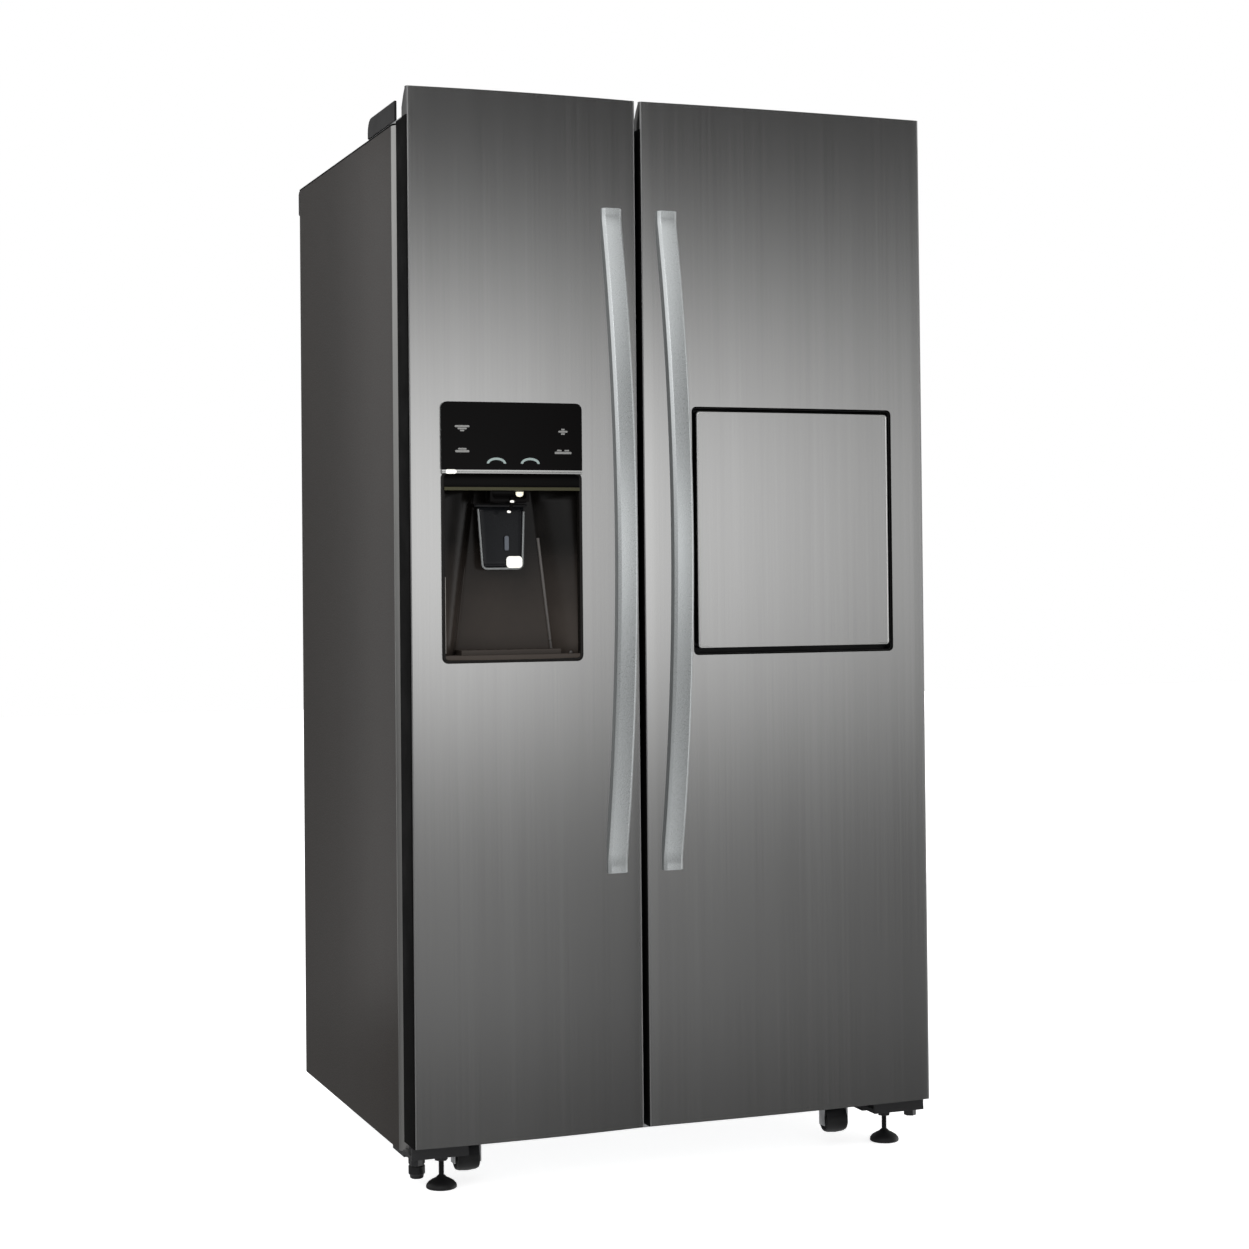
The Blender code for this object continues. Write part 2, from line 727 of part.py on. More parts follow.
def bottom_hinge(name, side, foot_x):
    """The bracket under a door: a joggled plate, a front apron, a pin boss and the pin's nut."""
    xs = sorted(side * x for x in BRACKET_X)
    under_cabinet = ((0.0680, 0.1350), (0.0595, 0.0657))
    under_door = ((0.0205, 0.0735), (0.0640, 0.0705))
    apron = ((0.0205, 0.0265), (0.0640, 0.0825))
    plate = add(name, cuboid(xs, *under_cabinet), "black_steel")
    pivot = (side * PIVOT_X, PIVOT_DEPTH, 0)
    fuse(
        plate,
        cuboid(xs, *under_door),
        cuboid(inset(xs, 0.0004), *apron),
        rod(0.0110, 0.0650, 0.0850, pivot, "Z", 12),
        rod(PIN_RADIUS, 0.0840, 0.0985, pivot, "Z", 12),
        rod(0.0105, 0.0510, 0.0650, pivot, "Z", 6),
    )
    cut(plate, rod(STEM_RADIUS + 0.001, 0.05, 0.08, (foot_x, FOOT_DEPTH, 0), "Z"))


def foot(name, x):
    """A levelling foot: a domed pad on a threaded stem."""
    place = (x, FOOT_DEPTH, 0)
    profile = [
        (0, 0), (0.0235, 0), (0.0250, 0.0020), (0.0245, 0.0060), (0.0170, 0.0125),
        (0.0070, 0.0175), (STEM_RADIUS, 0.0200), (STEM_RADIUS, STEM_TOP), (0, STEM_TOP),
    ]
    axis = joint_empty(f"{name}_axis", place)
    add(name, turned(profile, place, "Z", 20), "black_plastic", axis)


def roller(name, place, side):
    """A barrel-shaped roller with a bore for its axle."""
    centre = (side * place[0], place[1], place[2])
    half = ROLLER_WIDTH / 2
    bore = AXLE_RADIUS + 0.0006
    profile = [
        (bore, -half), (ROLLER_RADIUS - 0.005, -half), (ROLLER_RADIUS - 0.001, -half + 0.006),
        (ROLLER_RADIUS, 0),
        (ROLLER_RADIUS - 0.001, half - 0.006), (ROLLER_RADIUS - 0.005, half), (bore, half),
    ]
    axis = joint_empty(f"{name}_axis", centre)
    add(name, turned(profile, centre, "X", 20, hollow=True), "black_plastic", axis)


def water_coupler():
    """The push-fit joint of the water line, under the freezer door's hinge."""
    radius = COUPLER_RADIUS
    low, high = COUPLER_Z
    profile = [
        (0, low), (radius - 0.0040, low), (radius - 0.0010, low + 0.0040),
        (radius, low + 0.0090), (radius, high), (0, high),
    ]
    add("water_coupler", turned(profile, COUPLER_PLACE, "Z", 16), "black_plastic")


def hardware():
    for name, side in (("left", -1), ("right", 1)):
        top_hinge(f"top_hinge_{name}", side)
        hinge_cover(f"hinge_cover_{name}", side)
        bottom_hinge(f"bottom_hinge_{name}", side, FOOT_X[name])
        foot(f"foot_{name}", FOOT_X[name])
        roller(f"front_roller_{name}", FRONT_ROLLER, side)
        roller(f"rear_roller_{name}", REAR_ROLLER, side)
    water_coupler()


# Doors

def lip_profile(gap):
    """The stepped top of a door: a tall front lip, and a shoulder under the hinge arm."""
    depth = LIP_DEPTH + gap
    return [
        (depth, SHOULDER), (depth, 1.7300 + gap),
        (depth - 0.0100, 1.7470 + gap), (depth - 0.0190, 1.7575 + gap),
    ]


def door_skin(name, xs, parent):
    """The steel front, folded round both edges, cut down behind the top lip."""
    radius = 0.0035
    left, right = xs
    outline = [(left, DOOR_THICKNESS)]
    outline += arc((left + radius, radius), radius, 180, 270, 3)
    outline += arc((right - radius, radius), radius, 270, 360, 3)
    outline += [(right, DOOR_THICKNESS), (right - SHEET, DOOR_THICKNESS)]
    outline += arc((right - radius, radius), radius - SHEET, 360, 270, 3)
    outline += arc((left + radius, radius), radius - SHEET, 270, 180, 3)
    outline += [(left + SHEET, DOOR_THICKNESS)]
    skin = add(name, prism(outline, (DOOR_BOTTOM, DOOR_TOP), "Z", smooth=True), "door_steel", parent)
    notch = lip_profile(0.0) + [(0.0080, 1.7610), (0.0080, 1.80), (0.10, 1.80), (0.10, SHOULDER)]
    cut(skin, prism(notch, (left - 0.01, right + 0.01), "X"))
    return skin


def door_caps(prefix, xs, side, parent):
    """The moulded ends of a door, each with a bore for its hinge pin."""
    inner = inset(xs, CORE_INSET)
    pivot = (side * PIVOT_X, PIVOT_DEPTH, 0)
    depths = (SEAT, DOOR_THICKNESS - CLEAR)
    shoulder = SHOULDER - CLEAR
    low = CORE_Z[1] + CLEAR
    top_outline = [(depths[0], low), (depths[1], low), (depths[1], shoulder)]
    top_outline += [(LIP_DEPTH, shoulder)] + lip_profile(-CLEAR)[1:] + [(SEAT, DOOR_TOP - 0.0004)]
    top = add(f"{prefix}_top_cap", prism(top_outline, inner, "X"), "grey_plastic", parent)
    cut(top, rod(PIN_HOLE_RADIUS, 1.6950, 1.7200, pivot, "Z", 12))
    block = cuboid(inner, depths, (DOOR_BOTTOM, CORE_Z[0] - CLEAR))
    bottom = add(f"{prefix}_bottom_cap", block, "grey_plastic", parent)
    cut(bottom, rod(PIN_HOLE_RADIUS, 0.0800, 0.1100, pivot, "Z", 12))


def door_foam(name, xs, parent):
    depths = (SEAT, DOOR_THICKNESS - 0.0030)
    return add(name, cuboid(inset(xs, CORE_INSET), depths, CORE_Z), "foam", parent)


def door_liner(name, xs, ribs, parent):
    """The inner moulding: a flat back with two upright ribs that hold the bins."""
    plate = (DOOR_THICKNESS - 0.0027, DOOR_THICKNESS)
    liner = add(name, cuboid(inset(xs, SEAT), plate, CORE_Z), "white_liner", parent)
    for rib in ribs:
        fuse(liner, cuboid(rib, (DOOR_THICKNESS - 0.001, RIB_DEPTH), RIB_Z))
    return liner


def door_gasket(name, xs, parent):
    outer = rectangle(xs, GASKET_Z)
    inner = rectangle(inset(xs, GASKET_WIDTH), inset(GASKET_Z, GASKET_WIDTH))
    depths = (DOOR_THICKNESS + CLEAR, CABINET_FRONT - CLEAR)
    add(name, ring(outer, inner, depths, "Y"), "gasket_rubber", parent)


def door_bin(name, xs, parent):
    spans = (xs, (DOOR_THICKNESS + 0.0006, BIN_BACK), BIN_Z)
    open_box(name, spans, 0.0025, "clear_plastic", parent)


def door_handle(name, centre_x, parent):
    """A bowed bar whose two ends stand on the door."""
    half = HANDLE_WIDTH / 2
    chamfer = HANDLE_CHAMFER
    section = [
        (-half, 0), (-half, -HANDLE_THICKNESS + chamfer), (-half + chamfer, -HANDLE_THICKNESS),
        (half - chamfer, -HANDLE_THICKNESS), (half, -HANDLE_THICKNESS + chamfer), (half, 0),
    ]
    low, high = HANDLE_Z
    bow = HANDLE_REACH - HANDLE_THICKNESS - CLEAR
    pad = HANDLE_PAD
    steps = 18
    heights = [low, low + pad]
    heights += [low + pad + (high - low - 2 * pad) * i / steps for i in range(1, steps)]
    heights += [high - pad, high]
    bm = bmesh.new()
    loops = []
    for z in heights:
        share = (min(max(z, low + pad), high - pad) - (low + high) / 2) / ((high - low) / 2 - pad)
        out = CLEAR + bow * (1 - share * share)
        loops.append([bm.verts.new((centre_x + u, behind(v - out), z)) for u, v in section])
    for first, second in zip(loops, loops[1:]):
        for i in range(len(section)):
            j = (i + 1) % len(section)
            bm.faces.new((first[i], first[j], second[j], second[i]))
    bm.faces.new(loops[0][::-1])
    bm.faces.new(loops[-1])
    add(name, finish_mesh(bm, smooth=True), "handle_metal", parent)


def dispenser_housing(parent):
    """The recess for a glass, with a bezel, a chamber for the chute above, and paddle ears."""
    body_x = inset(DISPENSER_X, 0.0030)
    body_z = inset(DISPENSER_Z, 0.0035)
    housing = add("dispenser_housing", cuboid(body_x, (-0.0010, 0.0520), body_z), "black_plastic", parent)
    bezel = rounded_rectangle(DISPENSER_X, DISPENSER_Z, 0.010)
    fuse(housing, prism(bezel, (-0.0028, -CLEAR), "Y"))
    left, right = MOUTH_X
    front = [
        (left, -0.010, RECESS_FLOOR), (right, -0.010, RECESS_FLOOR),
        (right, -0.010, RECESS_TOP), (left, -0.010, RECESS_TOP),
    ]
    back = [
        (-0.3720, RECESS_DEPTH, RECESS_FLOOR), (-0.2010, RECESS_DEPTH, RECESS_FLOOR),
        (-0.2320, RECESS_DEPTH, RECESS_TOP), (-0.3410, RECESS_DEPTH, RECESS_TOP),
    ]
    chute_x = (DISPENSER_CENTRE - 0.0345, DISPENSER_CENTRE + 0.0345)
    cut(
        housing,
        hexahedron(front, back),
        cuboid(MOUTH_X, (-0.010, RECESS_DEPTH), (1.160, 1.254)),
        cuboid(chute_x, (0.0045, 0.0340), (1.100, 1.170)),
        cuboid(chute_x, (0.040, 0.060), (1.175, 1.245)),
    )
    for side in (-1, 1):
        xs = sorted((DISPENSER_CENTRE + side * 0.0445, DISPENSER_CENTRE + side * 0.0475))
        fuse(housing, cuboid(xs, (0.033, 0.043), (1.090, RECESS_TOP + 0.002)))


def control_panel(parent):
    """The glossy touch panel, with its circuit board box behind."""
    left, right = DISPENSER_X
    radius = 0.010
    top = DISPENSER_Z[1]
    outline = [(left, PANEL_BOTTOM), (right, PANEL_BOTTOM)]
    outline += arc((right - radius, top - radius), radius, 0, 90)
    outline += arc((left + radius, top - radius), radius, 90, 180)
    panel = add("control_panel", prism(outline, (-0.0050, -0.0031), "Y"), "gloss_black", parent)
    fuse(panel, cuboid((left + 0.014, right - 0.014), (-0.0040, 0.0040), (1.166, 1.248)))


def ice_chute(parent):
    """A bent rectangular duct that lets ice down from the freezer into the recess."""
    outer = [
        (0.0560, 1.2435), (0.0560, 1.1775), (0.0470, 1.1765), (0.0325, 1.1640),
        (0.0325, 1.1030), (0.0060, 1.1030), (0.0060, 1.1800), (0.0260, 1.2435),
    ]
    inner = [
        (0.0600, 1.2415), (0.0600, 1.1800), (0.0462, 1.1785), (0.0305, 1.1650),
        (0.0305, 1.0980), (0.0080, 1.0980), (0.0080, 1.1790), (0.0274, 1.2415),
    ]
    xs = (DISPENSER_CENTRE - CHUTE_HALF, DISPENSER_CENTRE + CHUTE_HALF)
    chute = add("ice_chute", prism(outer, xs, "X"), "grey_plastic", parent)
    cut(chute, prism(inner, inset(xs, 0.002), "X"))


def dispenser_paddle(parent):
    """The lever that a glass pushes: a tapering plate on a round pivot rod."""
    depth, z = PADDLE_PIVOT
    axis = joint_empty("dispenser_paddle_axis", (DISPENSER_CENTRE, depth, z), parent)
    x = DISPENSER_CENTRE
    low = PADDLE_LOW
    half_low, half_high = PADDLE_HALVES
    faces = []
    for depth_low, depth_high in ((0.0300, 0.0365), (0.0325, 0.0390)):
        faces.append([
            (x - half_low, depth_low, low), (x + half_low, depth_low, low),
            (x + half_high, depth_high, z), (x - half_high, depth_high, z),
        ])
    paddle = add("dispenser_paddle", hexahedron(*faces), "clear_plastic", axis)
    fuse(paddle, rod(0.0028, -0.0440, 0.0440, (x, depth, z), "X", 12))


def drip_tray(parent):
    low = RECESS_FLOOR + CLEAR
    plate = cuboid((-0.3700, -0.2030), (0.003, 0.044), (low, low + 0.0080))
    tray = add("drip_tray", plate, "grey_plastic", parent)
    slots = bmesh.new()
    for i in range(9):
        x = DISPENSER_CENTRE + (i - 4) * 0.017
        slots.from_mesh(cuboid((x - 0.0035, x + 0.0035), (0.008, 0.039), (low - 0.01, low + 0.02)))
    cut(tray, finish_mesh(slots))


def freezer_door():
    xs = (-HALF_WIDTH, DOOR_SPLIT_X - DOOR_GAP / 2)
    axis = joint_empty("freezer_door_axis", (-PIVOT_X, PIVOT_DEPTH, 0))
    skin = door_skin("freezer_door_skin", xs, axis)
    hole_x = inset(DISPENSER_X, 0.0027)
    hole_z = inset(DISPENSER_Z, 0.0032)
    cut(skin, cuboid(hole_x, (-0.01, 0.01), hole_z))
    foam = door_foam("freezer_door_foam", xs, axis)
    window_x = (DISPENSER_CENTRE - WINDOW_HALF, DISPENSER_CENTRE + WINDOW_HALF)
    window = (window_x, (RECESS_DEPTH + 0.001, 0.120), WINDOW_Z)
    cut(foam, cuboid(hole_x, (-0.01, 0.0523), hole_z), cuboid(*window))
    liner = door_liner("freezer_door_liner", xs, ((-0.3940, -0.3800), (-0.1140, -0.1000)), axis)
    fuse(liner, cuboid((-0.3650, -0.2080), (DOOR_THICKNESS - 0.001, 0.0950), (0.8600, 1.3000)))
    cut(liner, cuboid(*window))
    door_gasket("freezer_door_gasket", (xs[0] + 0.018, xs[1] - 0.012), axis)
    door_caps("freezer_door", xs, -1, axis)
    door_handle("freezer_door_handle", HANDLE_X[0], axis)
    dispenser_housing(axis)
    control_panel(axis)
    ice_chute(axis)
    dispenser_paddle(axis)
    drip_tray(axis)
    door_bin("freezer_door_bin", (-0.3790, -0.1160), axis)


def home_bar(parent):
    """The small flap in the fridge door: its frame, its front panel and its insulated back."""
    outer = rounded_rectangle(inset(BAR_X, CLEAR), inset(BAR_Z, CLEAR), 0.0077)
    frame = add("home_bar_frame", prism(outer, (0.0005, 0.0640), "Y"), "black_plastic", parent)
    pocket = rounded_rectangle(inset(BAR_X, 0.003), inset(BAR_Z, 0.003), 0.005)
    window = rectangle((0.0470, 0.3730), (0.8800, 1.2430))
    cut(frame, prism(pocket, (-0.01, 0.0225), "Y"), prism(window, (0.01, 0.07), "Y"))
    depth, z = FLAP_PIVOT
    pin = 0.0030
    for end in ((BAR_X[0] + 0.002, BAR_X[0] + 0.014), (BAR_X[1] - 0.014, BAR_X[1] - 0.002)):
        fuse(frame, rod(pin, end[0], end[1], (0, depth, z), "X", 12))
    axis = joint_empty("home_bar_axis", (sum(FLAP_X) / 2, depth, z), parent)
    front = rounded_rectangle(FLAP_X, FLAP_Z, 0.005)
    panel = add("home_bar_door", prism(front, (0, FLAP_THICKNESS), "Y", smooth=True), "door_steel", axis)
    for end in ((FLAP_X[0] - 0.01, FLAP_X[0] + 0.0065), (FLAP_X[1] - 0.0065, FLAP_X[1] + 0.01)):
        cut(panel, rod(pin + 0.0005, end[0], end[1], (0, depth, z), "X", 12))
    block = cuboid((0.0520, 0.3680), (FLAP_THICKNESS + CLEAR, 0.0450), (0.8850, 1.2360))
    add("home_bar_inner_panel", block, "white_liner", axis)


def fridge_door():
    xs = (DOOR_SPLIT_X + DOOR_GAP / 2, HALF_WIDTH)
    axis = joint_empty("fridge_door_axis", (PIVOT_X, PIVOT_DEPTH, 0))
    opening = rounded_rectangle(BAR_X, BAR_Z, 0.008)
    skin = door_skin("fridge_door_skin", xs, axis)
    foam = door_foam("fridge_door_foam", xs, axis)
    liner = door_liner("fridge_door_liner", xs, ((-0.0265, -0.0125), (0.3840, 0.3980)), axis)
    cut(skin, prism(opening, (-0.01, 0.01), "Y"))
    cut(foam, prism(opening, (-0.01, 0.07), "Y"))
    cut(liner, cuboid(inset(BAR_X, -0.0004), (0.05, 0.11), inset(BAR_Z, -0.0004)))
    door_gasket("fridge_door_gasket", (xs[0] + 0.012, xs[1] - 0.018), axis)
    door_caps("fridge_door", xs, 1, axis)
    door_handle("fridge_door_handle", HANDLE_X[1], axis)
    home_bar(axis)
    door_bin("fridge_door_bin", (-0.0115, 0.3830), axis)


def build():
    clear_scene()
    cabinet_sheets()
    base_pan()
    foam_insulation()
    compartment_liner("freezer_liner", FREEZER_X, (-0.4285, -0.0640))
    compartment_liner("fridge_liner", FRIDGE_X, (-0.0630, 0.4285))
    rear_top_trim()
    machine_room_cover()
    machine_room()
    fans()
    evaporator()
    ice_maker()
    shelves_and_drawers()
    hardware()
    freezer_door()
    fridge_door()
    bpy.context.view_layer.update()


build()
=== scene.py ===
"""Looks of the side by side refrigerator: materials, fine pieces, studio and camera."""
import json
import math

import bmesh
import bpy
from mathutils import Matrix, Vector

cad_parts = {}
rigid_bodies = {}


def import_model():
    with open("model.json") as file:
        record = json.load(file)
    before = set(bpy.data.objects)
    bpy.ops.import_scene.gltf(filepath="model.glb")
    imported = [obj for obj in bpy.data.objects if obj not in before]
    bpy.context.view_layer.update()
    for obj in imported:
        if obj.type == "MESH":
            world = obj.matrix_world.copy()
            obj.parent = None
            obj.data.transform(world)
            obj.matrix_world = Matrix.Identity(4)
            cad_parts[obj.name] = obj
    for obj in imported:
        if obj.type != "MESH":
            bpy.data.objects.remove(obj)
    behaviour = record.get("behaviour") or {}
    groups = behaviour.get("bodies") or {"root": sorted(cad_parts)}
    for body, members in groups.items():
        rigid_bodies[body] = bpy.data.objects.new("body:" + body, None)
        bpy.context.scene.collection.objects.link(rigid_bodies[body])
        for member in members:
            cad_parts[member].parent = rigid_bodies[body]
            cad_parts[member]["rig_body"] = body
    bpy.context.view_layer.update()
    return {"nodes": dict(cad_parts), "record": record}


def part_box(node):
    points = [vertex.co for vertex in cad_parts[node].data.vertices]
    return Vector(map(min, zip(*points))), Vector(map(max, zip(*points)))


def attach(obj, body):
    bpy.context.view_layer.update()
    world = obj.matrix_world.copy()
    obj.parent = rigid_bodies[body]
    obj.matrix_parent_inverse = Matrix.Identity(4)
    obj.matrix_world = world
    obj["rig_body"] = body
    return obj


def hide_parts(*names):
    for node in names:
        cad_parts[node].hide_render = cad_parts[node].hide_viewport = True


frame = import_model()
NODES = frame["nodes"]

# Places read from the frame
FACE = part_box("fridge_door_skin")[0].y
CABINET_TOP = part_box("side_panel_left")[1].z
DOOR_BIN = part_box("freezer_door_bin")

CAMERA_PLACE = (-1.4394, FACE - 3.5245, 0.972)
CAMERA_YAW = 20.91
CAMERA_PITCH = 0.98
CAMERA_ROLL = -0.57
CAMERA_LENS = 66.77
CAMERA_SHIFT_Y = -0.0655

# How far the doors' fronts and the home bar's stand out, and how deep the handles' feet reach
DOOR_CROWNS = {"freezer_door": 0.0074, "fridge_door": 0.0052}
FLAP_LIFT = 0.0016
HANDLE_ROOT = 0.005
BEZEL_BORDER = 0.0052

# Heights above the floor
# Heights over which the niche's painted shade grows, from none at the lower to full at the upper
NICHE_PAINTED_SHADE = (0.87, 1.045)
NICHE_CEILING = 1.12
CHUTE_MOUTH = 1.1016
LEFT_BINS = {"bottom": 0.2, "middle": 0.64, "top": 1.4}
RIGHT_BINS = {"bottom": 0.2, "middle": 0.64, "upper": 1.3, "top": 1.48}
FREEZER_SHELVES = {"low": 0.62, "middle": 0.85, "upper": 1.08}
FRIDGE_SHELVES = {"low": 0.6, "middle": 0.8, "upper": 1.24, "top": 1.44}
DRAWER_LIDS = 0.36
FRIDGE_VENTS = (0.52, 0.72, 0.92, 1.14, 1.34, 1.54)

BIN_HEIGHT = 0.12
WHITE = (1.0, 1.0, 1.0, 1.0)


def at(depth):
    """World Y of a point this far behind the doors' front face."""
    return FACE + depth


def span_at(near, far):
    """World Ys of two such points."""
    return (at(near), at(far))


def centre_of(node):
    """The middle of a CAD node's box."""
    return [(low + high) / 2 for low, high in zip(*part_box(node))]


def linked(name, data):
    """A new object in the scene."""
    obj = bpy.data.objects.new(name, data)
    bpy.context.scene.collection.objects.link(obj)
    return obj


# Materials

def add_node(tree, kind, inputs=None, **settings):
    """A shader node, whose inputs are plain values or other nodes' sockets."""
    made = tree.nodes.new(kind)
    for key, value in settings.items():
        setattr(made, key, value)
    for key, value in (inputs or {}).items():
        if isinstance(value, bpy.types.NodeSocket):
            tree.links.new(value, made.inputs[key])
        else:
            made.inputs[key].default_value = value
    return made


class Paint:
    """A material being made: one Principled shader and the nodes that feed it."""

    def __init__(self, name, colour, roughness, metallic=0.0, **sockets):
        self.material = bpy.data.materials.new(name)
        self.material.use_nodes = True
        self.tree = self.material.node_tree
        self.shader = self.tree.nodes["Principled BSDF"]
        self.colour = colour
        self.shader.inputs["Base Color"].default_value = (*colour, 1.0)
        self.shader.inputs["Roughness"].default_value = roughness
        self.shader.inputs["Metallic"].default_value = metallic
        for socket, value in sockets.items():
            self.shader.inputs[socket.replace("_", " ")].default_value = value
        self.object_place = self.node("ShaderNodeTexCoord").outputs["Object"]
        self.height = None

    def node(self, kind, inputs=None, **settings):
        return add_node(self.tree, kind, inputs, **settings)

    def noise(self, stretch, detail=3.0):
        """Noise whose cells measure one metre divided by stretch, which is a number or one for each axis."""
        scale = stretch if isinstance(stretch, tuple) else (stretch,) * 3
        mapping = self.node("ShaderNodeMapping", {"Vector": self.object_place, "Scale": scale})
        inputs = {"Vector": mapping.outputs[0], "Scale": 1.0, "Detail": detail, "Roughness": 0.55}
        return self.node("ShaderNodeTexNoise", inputs).outputs["Fac"]

    def spread(self, value, low=0.0, high=1.0, start=0.3, end=0.7):
        """The noise range start to end, spread over low to high."""
        inputs = {"Value": value, "From Min": start, "From Max": end, "To Min": low, "To Max": high}
        return self.node("ShaderNodeMapRange", inputs).outputs["Result"]

    def mottle(self, value, dark, light):
        """The base colour from dark to light times the paint's own, as value goes from 0 to 1."""
        ends = [(*(c * share for c in self.colour), 1.0) for share in (dark, light)]
        mix = self.node("ShaderNodeMix", {0: value, 6: ends[0], 7: ends[1]}, data_type="RGBA")
        self.tree.links.new(mix.outputs[2], self.shader.inputs["Base Color"])

    def roughen(self, value):
        """The roughness follows this value."""
        self.tree.links.new(value, self.shader.inputs["Roughness"])

    def bump(self, height, distance):
        """Relief of this height in metres, on top of the relief given before."""
        made = self.node("ShaderNodeBump", {"Height": height, "Distance": distance, "Strength": 1.0})
        if self.height:
            self.tree.links.new(self.height, made.inputs["Normal"])
        self.height = made.outputs["Normal"]
        self.tree.links.new(self.height, self.shader.inputs["Normal"])

    def comb(self):
        """Stretches the highlights across the grain."""
        tangent = self.node("ShaderNodeTangent", direction_type="RADIAL", axis="Z")
        self.tree.links.new(tangent.outputs[0], self.shader.inputs["Tangent"])


def brushed(name, colour, roughness, spread, along="Z", anisotropy=0.5, depth=1.0):
    """Metal with straight grain along one axis: fine lines, wider streaks, and a soft cloud."""
    paint = Paint(name, colour, roughness, 1.0, Anisotropic=anisotropy)

    def stretch(across, length):
        return tuple(length if axis == along else across for axis in "XYZ")

    lines = paint.noise(stretch(2200.0, 5.0), 2.0)
    streaks = paint.noise(stretch(260.0, 1.4), 3.0)
    cloud = paint.noise(stretch(36.0, 0.6), 2.0)
    mixed = paint.node("ShaderNodeMath", {0: streaks, 1: cloud}, operation="ADD").outputs[0]
    mixed = paint.node("ShaderNodeMath", {0: mixed, 1: lines}, operation="ADD").outputs[0]
    paint.mottle(paint.spread(mixed, 0.0, 1.0, 1.1, 1.9), 0.955, 1.045)
    paint.roughen(paint.spread(streaks, roughness - spread, roughness + spread))
    paint.bump(lines, 0.000012 * depth)
    paint.bump(streaks, 0.000008 * depth)
    if along == "Z":
        paint.comb()
    return paint.material


def moulded(name, colour, roughness, grain=900.0, depth=0.00002, mottle=0.06, uneven=0.15, gloss=0.5):
    """Moulded plastic or rubber: a fine spark-eroded grain and slight unevenness of gloss."""
    paint = Paint(name, colour, roughness, 0.0, Specular_IOR_Level=gloss)
    fine = paint.noise(grain, 2.0)
    broad = paint.noise(14.0, 3.0)
    paint.mottle(paint.spread(broad), 1.0 - mottle, 1.0 + mottle)
    paint.roughen(paint.spread(broad, roughness * (1.0 - uneven), min(1.0, roughness * (1.0 + uneven))))
    paint.bump(fine, depth)
    return paint.material


def painted(name, colour, roughness):
    """Baked paint on sheet steel, with a fine stippled skin."""
    paint = Paint(name, colour, roughness, 0.0, Specular_IOR_Level=0.33)
    stipple = paint.noise(420.0, 2.0)
    sag = paint.noise((5.0, 5.0, 2.0), 2.0)
    paint.mottle(paint.spread(sag), 0.93, 1.07)
    paint.roughen(paint.spread(stipple, roughness * 0.88, roughness * 1.12))
    paint.bump(stipple, 0.00006)
    paint.bump(sag, 0.0008)
    return paint.material


def zinc(name, colour, roughness):
    """Galvanised sheet, with the spangle of its zinc crystals."""
    paint = Paint(name, colour, roughness, 1.0)
    mapping = paint.node("ShaderNodeMapping", {"Vector": paint.object_place, "Scale": (70.0,) * 3})
    cells = paint.node("ShaderNodeTexVoronoi", {"Vector": mapping.outputs[0], "Scale": 1.0})
    grey = paint.node("ShaderNodeRGBToBW", {"Color": cells.outputs["Color"]}).outputs[0]
    paint.mottle(grey, 0.85, 1.12)
    paint.roughen(paint.spread(grey, roughness - 0.08, roughness + 0.1, 0.0, 1.0))
    paint.bump(paint.noise(300.0), 0.00002)
    return paint.material


def clear(name, colour, roughness, share):
    """Clear plastic or glass with a share of transmission."""
    paint = Paint(name, colour, roughness, 0.0, Transmission_Weight=share, IOR=1.49)
    flow = paint.noise(22.0, 2.0)
    paint.mottle(paint.spread(flow), 0.97, 1.03)
    paint.roughen(paint.spread(flow, roughness * 0.7, roughness * 1.4))
    paint.bump(flow, 0.0001)
    return paint.material


def foamed(name, colour):
    """Blown foam: open cells and a dusty skin."""
    paint = Paint(name, colour, 0.9)
    cells = paint.noise(500.0, 4.0)
    paint.mottle(paint.spread(cells), 0.8, 1.1)
    paint.bump(cells, 0.0004)
    return paint.material


def lit(name, colour, strength):
    """A surface that glows: lit marks behind glossy black, lamp glass, and glows that paint highlights."""
    paint = Paint(name, colour, 0.4, Emission_Strength=strength)
    paint.shader.inputs["Emission Color"].default_value = (*colour, 1.0)
    paint.mottle(paint.spread(paint.noise(900.0)), 0.85, 1.1)
    return paint.material


def satin(name, colour, roughness, metallic):
    """Fine bead-blasted metal, or metal paint, without visible grain."""
    paint = Paint(name, colour, roughness, metallic)
    fine = paint.noise(1400.0, 2.0)
    broad = paint.noise(9.0, 2.0)
    paint.mottle(paint.spread(broad), 0.98, 1.02)
    paint.roughen(paint.spread(fine, roughness * 0.92, roughness * 1.08))
    paint.bump(fine, 0.000003)
    return paint.material


def niche_plastic(name, colour):
    """The dispenser's moulding, with painted shade that darkens it towards its top."""
    paint = Paint(name, colour, 0.26, 0.0, Specular_IOR_Level=0.22)
    height = paint.node("ShaderNodeSeparateXYZ", {0: paint.object_place}).outputs["Z"]
    low, high = NICHE_PAINTED_SHADE
    # Painted shade: the moulding's colour falls to 6 % of its own from the lower height to the upper, with a
    # little noise
    shade_and_mottle = paint.node("ShaderNodeMath", {
        0: paint.spread(paint.noise(14.0), -0.08, 0.08),
        1: paint.spread(height, 0.0, 1.0, high, low)}, operation="ADD").outputs[0]
    paint.mottle(shade_and_mottle, 0.06, 1.0)
    paint.bump(paint.noise(900.0, 2.0), 0.00001)
    return paint.material


FINISHES = {}


def add_finish(make, name, colour, *values, slot=None, **options):
    """A material for pieces that take their finish from this slot of the record, or from the one so named."""
    FINISHES[name] = (make(name, colour, *values, **options), slot or name)


